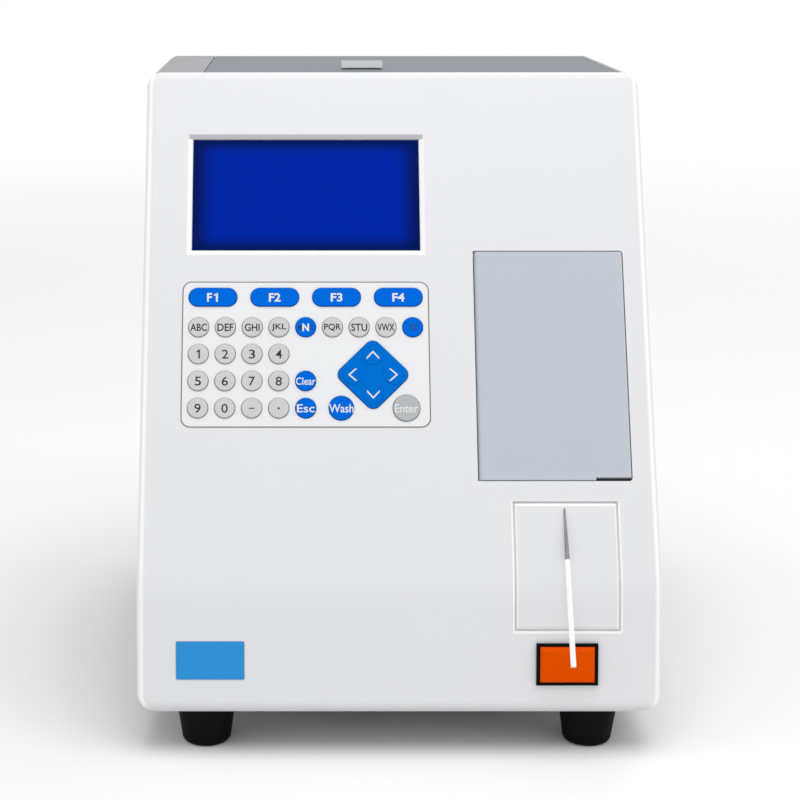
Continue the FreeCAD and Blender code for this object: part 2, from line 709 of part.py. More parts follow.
def front_skin(grow):
    """The front's outer skin where the sipper's plate lies, wider by grow all round."""
    skin = profile_prism(0.0, FOOT_H, CASE_TOP, CASE_D)
    skin = skin.cut(profile_prism(GROOVE_DEPTH, -OVERRUN, CASE_TOP + OVERRUN, CASE_D + OVERRUN))
    left = PLATE_U - PLATE_W / 2 - grow
    right = PLATE_U + PLATE_W / 2 + grow
    under_top = block(left, right, -2 * OVERRUN, PLATE_TOP_V + grow, -OVERRUN, OVERRUN)
    over_bottom = block(left, right, PLATE_BOTTOM_V - grow, BEND_RISE + 2 * OVERRUN, -OVERRUN, OVERRUN)
    return skin.common(set_on(under_top, SLOPE)).common(set_on(over_bottom, APRON)).Solids[0]


def plate_groove():
    """Groove round the sipper's plate, with the plate's own rounded rim."""
    plate = front_skin(0.0)
    return front_skin(GROOVE_W).cut(plate.makeFillet(PLATE_RIM_R, rim_edges(plate, -1)))


def sipper_frame():
    """Placement of the sipper: Z runs forwards and down from where it leaves the plate."""
    start = SLOPE.multVec(Vector(SIPPER_U, PLATE_TOP_V - SIPPER_BELOW_TOP, 0.0))
    turn = FreeCAD.Rotation(Vector(1, 0, 0), 180 - math.degrees(UPPER_LEAN) - SIPPER_OFF_PLATE)
    return FreeCAD.Placement(start, turn)


def needle_path(tip_radius, radius):
    """The needle's outline: an inlet through the front, an elbow, a taper and a straight end."""
    inlet = Part.makeCylinder(tip_radius, NEEDLE_INSIDE_L, Vector(0, 0, 0), Vector(0, -1, 0))
    inlet.rotate(Vector(0, 0, 0), Vector(1, 0, 0), SIPPER_OFF_PLATE)
    elbow = Part.makeSphere(tip_radius, Vector(0, 0, 0))
    if radius > tip_radius:
        front = Part.makeCone(tip_radius, radius, NEEDLE_TAPER_L)
    else:
        front = disc(radius, 0.0, NEEDLE_TAPER_L)
    grip = disc(radius, NEEDLE_TAPER_L, NEEDLE_TAPER_L + SLEEVE_GRIP_L)
    return set_on(front.fuse([inlet, elbow, grip]).removeSplitter(), sipper_frame())


def sipper_needle():
    """Steel needle that leaves the plate at a shallow angle and widens towards its sleeve."""
    return needle_path(NEEDLE_TIP_R, NEEDLE_R).cut(needle_path(NEEDLE_BORE_R, NEEDLE_BORE_R))


def sipper_sleeve():
    """White plastic tube pushed over the end of the needle."""
    start = NEEDLE_TAPER_L
    tube = disc(SLEEVE_R, start, start + SLEEVE_L)
    tube = tube.cut(disc(NEEDLE_R, start, start + SLEEVE_GRIP_L))
    tube = tube.cut(disc(SLEEVE_BORE_R, start, start + SLEEVE_L))
    return set_on(tube, sipper_frame())


def switch_opening(grow):
    """Hole in the lower front for the body of the aspirate switch."""
    w = SWITCH_W - 2 * SWITCH_BODY_INSET + 2 * grow
    h = SWITCH_H - 2 * SWITCH_BODY_INSET + 2 * grow
    hole = block(SWITCH_U - w / 2, SWITCH_U + w / 2, SWITCH_RISE - h / 2, SWITCH_RISE + h / 2,
                 -OVERRUN, OVERRUN)
    return set_on(hole, APRON)


def aspirate_switch():
    """Black frame and body of the switch under the sipper."""
    frame = block(SWITCH_U - SWITCH_W / 2, SWITCH_U + SWITCH_W / 2, SWITCH_RISE - SWITCH_H / 2,
                  SWITCH_RISE + SWITCH_H / 2, 0.0, SWITCH_PROUD)
    w = SWITCH_W - 2 * SWITCH_BODY_INSET
    h = SWITCH_H - 2 * SWITCH_BODY_INSET
    body = block(SWITCH_U - w / 2, SWITCH_U + w / 2, SWITCH_RISE - h / 2, SWITCH_RISE + h / 2,
                 -SWITCH_BODY_L, 0.0)
    well_w = SWITCH_W - 2 * SWITCH_FRAME
    well_h = SWITCH_H - 2 * SWITCH_BAR
    well = block(SWITCH_U - well_w / 2, SWITCH_U + well_w / 2, SWITCH_RISE - well_h / 2,
                 SWITCH_RISE + well_h / 2, SWITCH_FLOOR_T - SWITCH_BODY_L, SWITCH_PROUD)
    stem_hole = disc(CAP_STEM_R + PLAY, -SWITCH_BODY_L, OVERRUN, SWITCH_U, SWITCH_RISE)
    return set_on(frame.fuse(body).removeSplitter().cut([well, stem_hole]), APRON)


def aspirate_key():
    """Orange key cap with bevelled edges, on a stem."""
    w = SWITCH_W - 2 * SWITCH_FRAME - 2 * PLAY
    h = SWITCH_H - 2 * SWITCH_BAR - 2 * PLAY
    top = SWITCH_PROUD + CAP_PROUD
    skirt = -SWITCH_BODY_L + SWITCH_FLOOR_T + CAP_TRAVEL + PLAY
    base = block(SWITCH_U - w / 2, SWITCH_U + w / 2, SWITCH_RISE - h / 2, SWITCH_RISE + h / 2,
                 skirt, top - CAP_BEVEL)
    crown = frustum(w, h, top - CAP_BEVEL, w - 2 * CAP_BEVEL, h - 2 * CAP_BEVEL, top, SWITCH_U, SWITCH_RISE)
    stem = disc(CAP_STEM_R, skirt - CAP_TRAVEL, skirt, SWITCH_U, SWITCH_RISE)
    return set_on(base.fuse([crown, stem]).removeSplitter(), APRON)


def badge_seat(grow):
    """The badge plate's outline, sunk in the lower front."""
    plate = rounded_plate(BADGE_W + 2 * grow, BADGE_H + 2 * grow, BADGE_CORNER_R, BADGE_PROUD - BADGE_T,
                          BADGE_PROUD, BADGE_U, BADGE_RISE)
    return set_on(plate, APRON)


def board_posts():
    """Posts behind the front that the front board is screwed to."""
    posts = [disc(BOARD_POST_R, BOARD_FRONT, -SHELL_T, x, y) for x, y in board_corners()]
    return set_on(Part.makeCompound(posts), SLOPE)


def front_bezel(shell):
    """White front moulding, with every opening and boss of the front."""
    bezel = shell.cut(behind_bezel())
    bezel = bezel.fuse([door_bosses(), board_posts()])
    bores = [door_pin(-1, DOOR_PIN_R + SLIP), door_pin(1, DOOR_PIN_R + SLIP)]
    cuts = [display_opening(), keypad_opening(), door_opening(), plate_groove(), switch_opening(REST_GAP)]
    needle = needle_path(NEEDLE_TIP_R + SLIP, NEEDLE_R + SLIP)
    bezel = bezel.cut(cuts + bores + [needle, badge_seat(REST_GAP)])
    return bezel.Solids[0]


def panel_screw_places():
    """Screws of the rear panel: three down each side."""
    x = INNER_HALF_W - PANEL_BOSS / 2
    z_low = SEAM_Z + SEAM_GAP + PANEL_BOSS
    z_high = REAR_TOP_Z - PANEL_BOSS
    rows = (z_low, (z_low + z_high) / 2, z_high)
    return [(side * x, z) for side in (-1, 1) for z in rows]


def case_cover(shell):
    """Grey cover: both sides, the strip left of the lid and the ledge under it."""
    cover = shell.common(behind_bezel())
    cover = cover.common(block(-CASE_W, CASE_W, -OVERRUN, CASE_D, SEAM_Z + SEAM_GAP, CASE_TOP))
    ledge = block(LID_LEFT - LID_GAP - SHELL_T, INNER_HALF_W, LID_FRONT_Y - LID_GAP, BAY_BACK + BAY_LEDGE,
                  LEDGE_Z, BAY_FLANGE_Z)
    web = block(LID_LEFT - LID_GAP - SHELL_T, LID_LEFT - LID_GAP, LID_FRONT_Y - LID_GAP, LID_AXIS_Y,
                LEDGE_Z, CASE_TOP - SHELL_T)
    boss_y = LID_AXIS_Y - LID_BARREL_R
    boss_z = LID_AXIS_Z - LID_BARREL_R
    left_boss = block(-INNER_HALF_W, LID_LEFT - LID_GAP, boss_y, CASE_D, boss_z, CASE_TOP - SHELL_T)
    right_boss = block(LID_RIGHT + LID_GAP, INNER_HALF_W, boss_y, CASE_D, LEDGE_Z, CASE_TOP - SHELL_T)
    extras = [ledge, web, left_boss, right_boss]
    half = PANEL_BOSS / 2
    screw_y = REAR_INNER_Y - PANEL_SCREW_L
    for x, z in panel_screw_places():
        extras.append(block(x - half, x + half, screw_y, REAR_INNER_Y, z - half, z + half))
    cover = cover.fuse(extras).common(case_solid())
    lid_room = block(LID_LEFT - LID_GAP, LID_RIGHT + LID_GAP, LID_FRONT_Y - LID_GAP, CASE_D + OVERRUN,
                     BAY_FLANGE_Z, CASE_TOP + OVERRUN)
    barrel_room = block(LID_LEFT - LID_GAP, LID_RIGHT + LID_GAP, boss_y - LID_GAP, CASE_D + OVERRUN,
                        REAR_TOP_Z, CASE_TOP)
    bay = block(BAY_LEFT, BAY_RIGHT, BAY_FRONT, BAY_BACK, LEDGE_Z - OVERRUN, CASE_TOP)
    bores = [rod_y(SCREW_R, screw_y, REAR_INNER_Y, x, z) for x, z in panel_screw_places()]
    return cover.cut([lid_room, barrel_room, bay] + lid_pins(LID_PIN_R + SLIP) + bores).Solids[0]


def foot_places():
    """Centres of the four feet."""
    return [(side * FOOT_U, y) for side in (-1, 1) for y in (FOOT_FRONT_Y, FOOT_REAR_Y)]


def base_tray(shell):
    """Bottom tray with low side walls, bosses for the feet and posts for the board."""
    tray = shell.common(behind_bezel())
    tray = tray.common(block(-CASE_W, CASE_W, -OVERRUN, CASE_D, FOOT_H, SEAM_Z))
    extras = [disc(FOOT_BOSS_R, TRAY_FLOOR_Z, TRAY_FLOOR_Z + FOOT_BOSS_H, x, y) for x, y in foot_places()]
    for x, y in main_board_corners():
        extras.append(disc(MAIN_POST_R, TRAY_FLOOR_Z, TRAY_FLOOR_Z + MAIN_LIFT, x, y))
    tray = tray.fuse(extras)
    holes = [disc(SCREW_R, -OVERRUN, TRAY_FLOOR_Z + FOOT_BOSS_H, x, y) for x, y in foot_places()]
    return tray.cut(holes).Solids[0]


def foot(x, y):
    """One tapered rubber foot with its screw well."""
    body = Part.makeCone(FOOT_BOTTOM_D / 2, FOOT_TOP_D / 2, FOOT_H)
    bottom = [e for e in body.Edges if e.Closed and e.BoundBox.ZMax < FOOT_H / 2]
    body = body.makeFillet(FOOT_EDGE_R, bottom)
    body = body.cut([disc(FOOT_COUNTERBORE_R, 0.0, FOOT_COUNTERBORE_L), disc(SCREW_R, 0.0, FOOT_H)])
    body.translate(Vector(x, y, 0))
    return body


def feet():
    """All four feet."""
    return Part.makeCompound([foot(x, y) for x, y in foot_places()])


def screw(length):
    """A socket screw: head below zero, shank above it, along Z."""
    head = disc(SCREW_HEAD_R, -SCREW_HEAD_T, 0.0)
    head = head.cut(disc(SCREW_SOCKET_R, -SCREW_HEAD_T, SCREW_SOCKET_L - SCREW_HEAD_T))
    return head.fuse(disc(SCREW_R, 0.0, length)).removeSplitter()


def screws():
    """Four screws that hold the feet and six that hold the rear panel."""
    solids = []
    for x, y in foot_places():
        piece = screw(TRAY_FLOOR_Z + FOOT_BOSS_H - FOOT_COUNTERBORE_L)
        piece.translate(Vector(x, y, FOOT_COUNTERBORE_L))
        solids.append(piece)
    for x, z in panel_screw_places():
        piece = screw(REAR_T + PANEL_SCREW_L)
        piece.rotate(Vector(0, 0, 0), Vector(1, 0, 0), 90)
        piece.translate(Vector(x, REAR_FACE_Y, z))
        solids.append(piece)
    return Part.makeCompound(solids)


def rear_panel():
    """Flat panel that closes the back, with its vent, inlet hole and screw holes."""
    half = INNER_HALF_W - REST_GAP
    low = TRAY_FLOOR_Z + REST_GAP
    panel = block(-half, half, REAR_INNER_Y, REAR_FACE_Y, low, REAR_TOP_Z)
    panel = panel.common(section_prism(SHELL_T + REST_GAP, REAR_INNER_Y, REAR_FACE_Y))
    cuts = [rod_y(SCREW_R, REAR_INNER_Y, REAR_FACE_Y, x, z) for x, z in panel_screw_places()]
    pitch = 2 * FAN_BORE_R / FAN_SLOT_COUNT
    for i in range(FAN_SLOT_COUNT):
        z = FAN_Z + (i - (FAN_SLOT_COUNT - 1) / 2) * pitch
        reach = math.sqrt(FAN_BORE_R ** 2 - (abs(z - FAN_Z) + FAN_SLOT_H / 2) ** 2)
        cuts.append(block(FAN_X - reach, FAN_X + reach, REAR_INNER_Y, REAR_FACE_Y,
                          z - FAN_SLOT_H / 2, z + FAN_SLOT_H / 2))
    w = INLET_W / 2 - INLET_LIP + REST_GAP
    h = INLET_H / 2 - INLET_LIP + REST_GAP
    z = FOOT_H + INLET_RISE
    cuts.append(block(INLET_X - w, INLET_X + w, REAR_INNER_Y, REAR_FACE_Y, z - h, z + h))
    return panel.cut(cuts)


def fan_frame():
    """Square fan housing with a round bore, struts and the pin that the rotor turns on."""
    z = FAN_Z
    half = FAN_SIZE / 2
    front = REAR_INNER_Y - FAN_T
    body = block(FAN_X - half, FAN_X + half, front, REAR_INNER_Y, z - half, z + half)
    body = body.cut(rod_y(FAN_BORE_R, front, REAR_INNER_Y, FAN_X, z))
    w = FAN_STRUT_W / 2
    struts = [block(FAN_X - w, FAN_X + w, front, front + FAN_STRUT_T, z - FAN_BORE_R, z + FAN_BORE_R),
              block(FAN_X - FAN_BORE_R, FAN_X + FAN_BORE_R, front, front + FAN_STRUT_T, z - w, z + w),
              rod_y(FAN_HUB_R, front, front + FAN_STRUT_T, FAN_X, z),
              rod_y(FAN_PIN_R, front, front + FAN_STRUT_T + FAN_PIN_L, FAN_X, z)]
    return body.fuse(struts).removeSplitter()


def fan_rotor():
    """Hub and blades of the fan."""
    z = FAN_Z
    y0 = REAR_INNER_Y - FAN_T + FAN_STRUT_T + PLAY
    y1 = REAR_INNER_Y - 2 * PLAY
    hub = rod_y(FAN_HUB_R, y0, y1, FAN_X, z)
    blades = []
    mid = (y0 + y1) / 2
    depth = (y1 - y0) * math.cos(math.radians(FAN_BLADE_TURN)) * FAN_BLADE_DEPTH_SHARE
    for i in range(FAN_BLADE_COUNT):
        blade = block(FAN_HUB_R - FAN_BLADE_T, FAN_BLADE_R, -depth / 2, depth / 2,
                      -FAN_BLADE_T / 2, FAN_BLADE_T / 2)
        blade.rotate(Vector(0, 0, 0), Vector(1, 0, 0), FAN_BLADE_TURN)
        blade.rotate(Vector(0, 0, 0), Vector(0, 1, 0), 360 * i / FAN_BLADE_COUNT)
        blade.translate(Vector(FAN_X, mid, z))
        blades.append(blade)
    rotor = hub.fuse(blades)
    rotor = rotor.common(rod_y(FAN_BLADE_R, y0, y1, FAN_X, z))
    return rotor.cut(rod_y(FAN_PIN_R + SLIP, y0, y0 + FAN_PIN_L - PLAY + SLIP, FAN_X, z))


def rocker_axis():
    """Centre of the rocker's pivot."""
    z = FOOT_H + INLET_RISE + ROCKER_RISE
    return Vector(INLET_X, REAR_FACE_Y - ROCKER_T * ROCKER_PIVOT_SHARE, z)


def mains_inlet():
    """Mains module: flange, three-blade socket below and the rocker's window above."""
    z = FOOT_H + INLET_RISE
    flange = rounded_plate(INLET_W, INLET_H, INLET_CORNER_R, 0.0, INLET_FLANGE_T)
    body = rounded_plate(INLET_W - 2 * INLET_LIP, INLET_H - 2 * INLET_LIP, INLET_CORNER_R - INLET_LIP / 2,
                         -INLET_BODY_L, 0.0)
    module = flange.fuse(body).removeSplitter()
    module.rotate(Vector(0, 0, 0), Vector(1, 0, 0), 90)
    module.rotate(Vector(0, 0, 0), Vector(0, 0, 1), 180)
    module.translate(Vector(INLET_X, REAR_FACE_Y, z))
    outer_y = REAR_FACE_Y + INLET_FLANGE_T
    socket_z = z - SOCKET_DROP
    socket = block(INLET_X - SOCKET_W / 2, INLET_X + SOCKET_W / 2, outer_y - SOCKET_L, outer_y,
                   socket_z - SOCKET_H / 2, socket_z + SOCKET_H / 2)
    window_w = ROCKER_W + 2 * PLAY
    window_h = ROCKER_H + 4 * PLAY
    axis = rocker_axis()
    window = block(axis.x - window_w / 2, axis.x + window_w / 2, outer_y - SOCKET_L, outer_y,
                   axis.z - window_h / 2, axis.z + window_h / 2)
    reach = ROCKER_W / 2 + ROCKER_PIN_L
    pivot = rod_x(ROCKER_PIN_R + SLIP, axis.x - reach, axis.x + reach, axis.y, axis.z)
    module = module.cut([socket, window, pivot])
    blades = []
    floor_y = outer_y - SOCKET_L
    for i in (-1, 0, 1):
        x = INLET_X + i * BLADE_PITCH
        blade_z = socket_z + BLADE_W / 2 if i == 0 else socket_z - BLADE_W / 2
        blades.append(block(x - BLADE_T / 2, x + BLADE_T / 2, floor_y, floor_y + BLADE_L,
                            blade_z - BLADE_W / 2, blade_z + BLADE_W / 2))
    return module.fuse(blades)


def power_rocker():
    """Rocker with two faces that meet at a crest, at rest with its lower end in."""
    axis = rocker_axis()
    half = ROCKER_H / 2
    front = REAR_FACE_Y + INLET_FLANGE_T - axis.y
    crest = front + ROCKER_CREST
    drop = half * math.tan(math.radians(ROCKER_TILT))
    back = front - ROCKER_T
    edge = crest - drop
    points = ((back, -half), (edge, -half), (crest, 0.0), (edge, half), (back, half), (back, -half))
    wire = Part.makePolygon([Vector(-ROCKER_W / 2, y, z) for y, z in points])
    rocker = Part.Face(wire).extrude(Vector(ROCKER_W, 0, 0))
    rocker = rocker.common(rod_x(crest, -ROCKER_W / 2, ROCKER_W / 2, 0, 0))
    pins = rod_x(ROCKER_PIN_R, -ROCKER_W / 2 - ROCKER_PIN_L + PLAY, ROCKER_W / 2 + ROCKER_PIN_L - PLAY, 0, 0)
    rocker = rocker.fuse(pins).removeSplitter()
    rocker.rotate(Vector(0, 0, 0), Vector(1, 0, 0), ROCKER_TILT)
    rocker.translate(axis)
    return rocker


def top_lid():
    """Glossy lid with its hinge barrel, stiffening rib and finger pull."""
    plate = block(LID_LEFT, LID_RIGHT, LID_FRONT_Y, LID_AXIS_Y, LID_UNDER_Z, CASE_TOP)
    barrel = rod_x(LID_BARREL_R, LID_LEFT, LID_RIGHT, LID_AXIS_Y, LID_AXIS_Z)
    pull_y = LID_FRONT_Y + PULL_SETBACK
    left = PULL_U - PULL_W / 2
    right = PULL_U + PULL_W / 2
    post = block(left, right, pull_y + PULL_D - PULL_POST_T, pull_y + PULL_D, CASE_TOP, CASE_TOP + PULL_H)
    lip = block(left, right, pull_y, pull_y + PULL_D, CASE_TOP + PULL_H - PULL_LIP_H, CASE_TOP + PULL_H)
    rib_x0 = BAY_LEFT + BAY_FLANGE + BAY_WALL + PLAY
    rib_x1 = BAY_RIGHT - BAY_FLANGE - BAY_WALL - PLAY
    rib_y = BAY_FRONT + BAY_FLANGE + BAY_WALL + PLAY
    rib = block(rib_x0, rib_x1, rib_y, rib_y + LID_RIB_D, BAY_FLANGE_Z, LID_UNDER_Z)
    lid = plate.fuse([barrel, post, lip, rib]).removeSplitter()
    return lid.cut(lid_pins(LID_PIN_R + SLIP))


def bay_tray():
    """Deep tray that hangs in the cover's opening and carries the optics."""
    over = BAY_FLANGE
    flange = block(BAY_LEFT - over, BAY_RIGHT + over, BAY_FRONT - over, BAY_BACK + over,
                   BAY_FLANGE_Z, BAY_FLANGE_Z + BAY_FLANGE_T)
    tub = block(BAY_LEFT + REST_GAP, BAY_RIGHT - REST_GAP, BAY_FRONT + REST_GAP, BAY_BACK - REST_GAP,
                BAY_FLOOR_Z, BAY_FLANGE_Z)
    room = block(BAY_LEFT + BAY_WALL, BAY_RIGHT - BAY_WALL, BAY_FRONT + BAY_WALL, BAY_BACK - BAY_WALL,
                 BAY_FLOOR_Z + BAY_WALL, BAY_FLANGE_Z + BAY_FLANGE_T)
    return flange.fuse(tub).removeSplitter().cut(room)


def pump_door():
    """Matt door with its hinge barrel and the finger notch at its lower corner."""
    plate = rounded_plate(DOOR_W, DOOR_H, DOOR_CORNER_R, -DOOR_T, 0.0, DOOR_U, DOOR_V)
    barrel = Part.makeCylinder(DOOR_BARREL_R, DOOR_H, Vector(DOOR_AXIS_U, DOOR_BOTTOM, -DOOR_BARREL_R),
                               Vector(0, 1, 0))
    corner = block(DOOR_LEFT, DOOR_AXIS_U, DOOR_BOTTOM, DOOR_TOP, -DOOR_T, 0.0)
    notch = block(DOOR_RIGHT - NOTCH_W, DOOR_RIGHT, DOOR_BOTTOM, DOOR_BOTTOM + NOTCH_H, -DOOR_T, 0.0)
    door = set_on(plate.cut([corner, notch]).fuse(barrel).removeSplitter(), SLOPE)
    return door.cut([door_pin(-1, DOOR_PIN_R + SLIP), door_pin(1, DOOR_PIN_R + SLIP)])


def pump_head():
    """Tub behind the door, with the arched track that the tube is squeezed against."""
    left = DOOR_LEFT - DOOR_GAP
    right = DOOR_RIGHT - PUMP_LEDGE
    bottom = DOOR_BOTTOM + PUMP_LEDGE
    top = DOOR_TOP - PUMP_LEDGE
    flange = block(DOOR_LEFT - PUMP_FLANGE, DOOR_RIGHT + PUMP_FLANGE, DOOR_BOTTOM - PUMP_FLANGE,
                   DOOR_TOP + PUMP_FLANGE, PUMP_SEAT, PUMP_FRONT)
    tub = block(left - PUMP_WALL, right + PUMP_WALL, bottom - PUMP_WALL, top + PUMP_WALL,
                PUMP_BACK, PUMP_SEAT)
    room = block(left, right, bottom, top, PUMP_FLOOR, PUMP_FRONT)
    slot_end = DOOR_GAP + DOOR_BOSS_L + DOOR_GAP
    slot = block(left, DOOR_LEFT + 2 * DOOR_BARREL_R + DOOR_GAP, DOOR_BOTTOM - slot_end, DOOR_TOP + slot_end,
                 PUMP_SEAT - DOOR_BARREL_R, PUMP_FRONT)
    head = flange.fuse(tub).cut([room, slot])
    ring = disc(PUMP_TRACK_R + PUMP_TRACK_T, PUMP_FLOOR, PUMP_FLOOR + PUMP_TRACK_H, DOOR_U, DOOR_V)
    ring = ring.cut(disc(PUMP_TRACK_R, PUMP_FLOOR, PUMP_FLOOR + PUMP_TRACK_H, DOOR_U, DOOR_V))
    ring = ring.cut(block(DOOR_U - DOOR_W, DOOR_U + DOOR_W, DOOR_V - DOOR_H, DOOR_V, PUMP_BACK, 0.0))
    head = head.fuse(ring).cut(disc(SHAFT_R + PLAY, PUMP_BACK, PUMP_FLOOR, DOOR_U, DOOR_V))
    return set_on(head, SLOPE)


def pump_rotor():
    """Rotor with its rollers and shaft, turning about the normal of the slope."""
    low = PUMP_FLOOR + ROTOR_LIFT
    high = low + ROTOR_H
    parts = [disc(ROTOR_R, high - ROTOR_PLATE_T, high, DOOR_U, DOOR_V),
             disc(ROTOR_HUB_R, low, high, DOOR_U, DOOR_V),
             disc(SHAFT_R, PUMP_BACK - SHAFT_HOLD, low, DOOR_U, DOOR_V)]
    reach = ROTOR_R - ROLLER_R / 2
    for i in range(ROLLER_COUNT):
        angle = 2 * math.pi * i / ROLLER_COUNT
        x = DOOR_U + reach * math.cos(angle)
        parts.append(disc(ROLLER_R, low, high, x, DOOR_V + reach * math.sin(angle)))
    plate = disc(ROTOR_R, low, low + ROTOR_PLATE_T, DOOR_U, DOOR_V)
    return set_on(plate.fuse(parts).removeSplitter(), SLOPE)


def pump_motor():
    """Gearbox and motor behind the pump head."""
    gearbox = disc(GEARBOX_R, PUMP_BACK - GEARBOX_L, PUMP_BACK, DOOR_U, DOOR_V)
    can = disc(MOTOR_R, PUMP_BACK - GEARBOX_L - MOTOR_L, PUMP_BACK - GEARBOX_L, DOOR_U, DOOR_V)
    bore = disc(SHAFT_R + SLIP, PUMP_BACK - SHAFT_HOLD - PLAY, PUMP_BACK, DOOR_U, DOOR_V)
    return set_on(gearbox.fuse(can).removeSplitter().cut(bore), SLOPE)


def optics_place():
    """Corner of the optics block: left, front and floor."""
    return OPTICS_X, BAY_BACK - OPTICS_BACK_GAP - OPTICS_D, BAY_FLOOR_Z + BAY_WALL


def wheel_centre():
    """Centre of the filter wheel."""
    x0, y0, z0 = optics_place()
    return Vector(x0 + WHEEL_SLOT_INSET + WHEEL_SLOT / 2, y0 + OPTICS_D / 2, z0 + WHEEL_AXIS_H)


def optics_block():
    """Machined block with the lamp tube, the filter slot and the cell well."""
    x0, y0, z0 = optics_place()
    body = block(x0, x0 + OPTICS_W, y0, y0 + OPTICS_D, z0, z0 + OPTICS_H)
    c = wheel_centre()
    lamp_z = c.z
    lamp_y = c.y - FILTER_PCD_R
    lamp = rod_x(LAMP_R, x0 - LAMP_L, x0, lamp_y, lamp_z)
    slot = block(c.x - WHEEL_SLOT / 2, c.x + WHEEL_SLOT / 2, y0, y0 + OPTICS_D, z0 + SHELL_T, z0 + OPTICS_H)
    cell_x = x0 + OPTICS_W - CELL_FROM_RIGHT
    well = block(cell_x, cell_x + CELL_W, lamp_y - CELL_D / 2, lamp_y + CELL_D / 2,
                 z0 + OPTICS_H - CELL_DEEP, z0 + OPTICS_H)
    beam = rod_x(FILTER_R / 2, x0, x0 + OPTICS_W, lamp_y, lamp_z)
    lamp_bore = rod_x(LAMP_BORE_R, x0 - LAMP_L, x0, lamp_y, lamp_z)
    shaft = rod_x(WHEEL_SHAFT_R + SLIP, x0, x0 + OPTICS_W, c.y, c.z)
    return body.fuse(lamp).cut([slot, well, beam, lamp_bore, shaft])


def filter_wheel():
    """Wheel with eight filter windows on its shaft."""
    c = wheel_centre()
    wheel = rod_x(WHEEL_R, c.x - WHEEL_T / 2, c.x + WHEEL_T / 2, c.y, c.z)
    holes = []
    for i in range(FILTER_COUNT):
        angle = 2 * math.pi * (i + 0.5) / FILTER_COUNT
        holes.append(rod_x(FILTER_R, c.x - WHEEL_T, c.x + WHEEL_T, c.y + FILTER_PCD_R * math.cos(angle),
                           c.z + FILTER_PCD_R * math.sin(angle)))
    x_end = optics_place()[0] + OPTICS_W
    shaft = rod_x(WHEEL_SHAFT_R, c.x - WHEEL_SLOT, x_end + WHEEL_SHAFT_L / 2, c.y, c.z)
    return wheel.cut(holes).fuse(shaft)


def filter_motor():
    """Small square stepper that turns the filter wheel."""
    x0 = optics_place()[0] + OPTICS_W
    c = wheel_centre()
    half = STEPPER_SIZE / 2
    low = min(c.z - half, BAY_FLOOR_Z + BAY_WALL)
    body = block(x0, x0 + STEPPER_L, c.y - half, c.y + half, low, c.z + half)
    return body.cut(rod_x(WHEEL_SHAFT_R + SLIP, x0, x0 + WHEEL_SHAFT_L / 2 + PLAY, c.y, c.z))


def main_board_corners():
    """Screw posts of the main board."""
    inset = 2 * MAIN_POST_R
    xs = (MAIN_X - MAIN_W / 2 + inset, MAIN_X + MAIN_W / 2 - inset)
    ys = (MAIN_Y - MAIN_D / 2 + inset, MAIN_Y + MAIN_D / 2 - inset)
    return [(x, y) for x in xs for y in ys]


def main_board():
    """Main circuit board with its chips, capacitors and connectors."""
    z = TRAY_FLOOR_Z + MAIN_LIFT
    left = MAIN_X - MAIN_W / 2
    front = MAIN_Y - MAIN_D / 2
    board = block(left, left + MAIN_W, front, front + MAIN_D, z, z + BOARD_T)
    top = z + BOARD_T
    parts = []
    for u, v, w, d, h in CHIP_SHARES:
        x = left + u * MAIN_W
        y = front + v * MAIN_D
        parts.append(block(x - w * MAIN_W / 2, x + w * MAIN_W / 2, y - d * MAIN_D / 2, y + d * MAIN_D / 2,
                           top, top + h * MAIN_W))
    radius = CAPACITOR_R_SHARE * MAIN_W
    y = front + CAPACITOR_DEPTH_SHARE * MAIN_D
    for i in range(CAPACITOR_COUNT):
        x = left + MAIN_W * (CAPACITOR_START_SHARE + i * CAPACITOR_PITCH_SHARE)
        parts.append(disc(radius, top, top + CAPACITOR_H_SHARE * MAIN_W, x, y))
    return board.fuse(parts).removeSplitter()


def power_supply():
    """Boxed power supply with a slotted cover."""
    x0 = SUPPLY_X - SUPPLY_W / 2
    y0 = SUPPLY_Y - SUPPLY_D / 2
    z0 = TRAY_FLOOR_Z
    body = block(x0, x0 + SUPPLY_W, y0, y0 + SUPPLY_D, z0, z0 + SUPPLY_H)
    t = SUPPLY_SHEET_T
    body = body.cut(block(x0 + t, x0 + SUPPLY_W - t, y0 + t, y0 + SUPPLY_D - t, z0 + t, z0 + SUPPLY_H - t))
    pitch = (SUPPLY_W - SUPPLY_CORE_GAP) / SUPPLY_SLOT_COUNT
    slots = []
    for i in range(SUPPLY_SLOT_COUNT):
        x = SUPPLY_X + (i - (SUPPLY_SLOT_COUNT - 1) / 2) * pitch
        slots.append(block(x - SUPPLY_SLOT_W / 2, x + SUPPLY_SLOT_W / 2, y0 + SUPPLY_SLOT_GAP,
                           y0 + SUPPLY_D - SUPPLY_SLOT_GAP, z0 + SUPPLY_H - 2 * t, z0 + SUPPLY_H + t))
    gap = SUPPLY_CORE_GAP
    core = block(x0 + gap, x0 + SUPPLY_W - gap, y0 + gap, y0 + SUPPLY_D - gap, z0 + t, z0 + SUPPLY_H / 2)
    return body.cut(slots).fuse(core).removeSplitter()


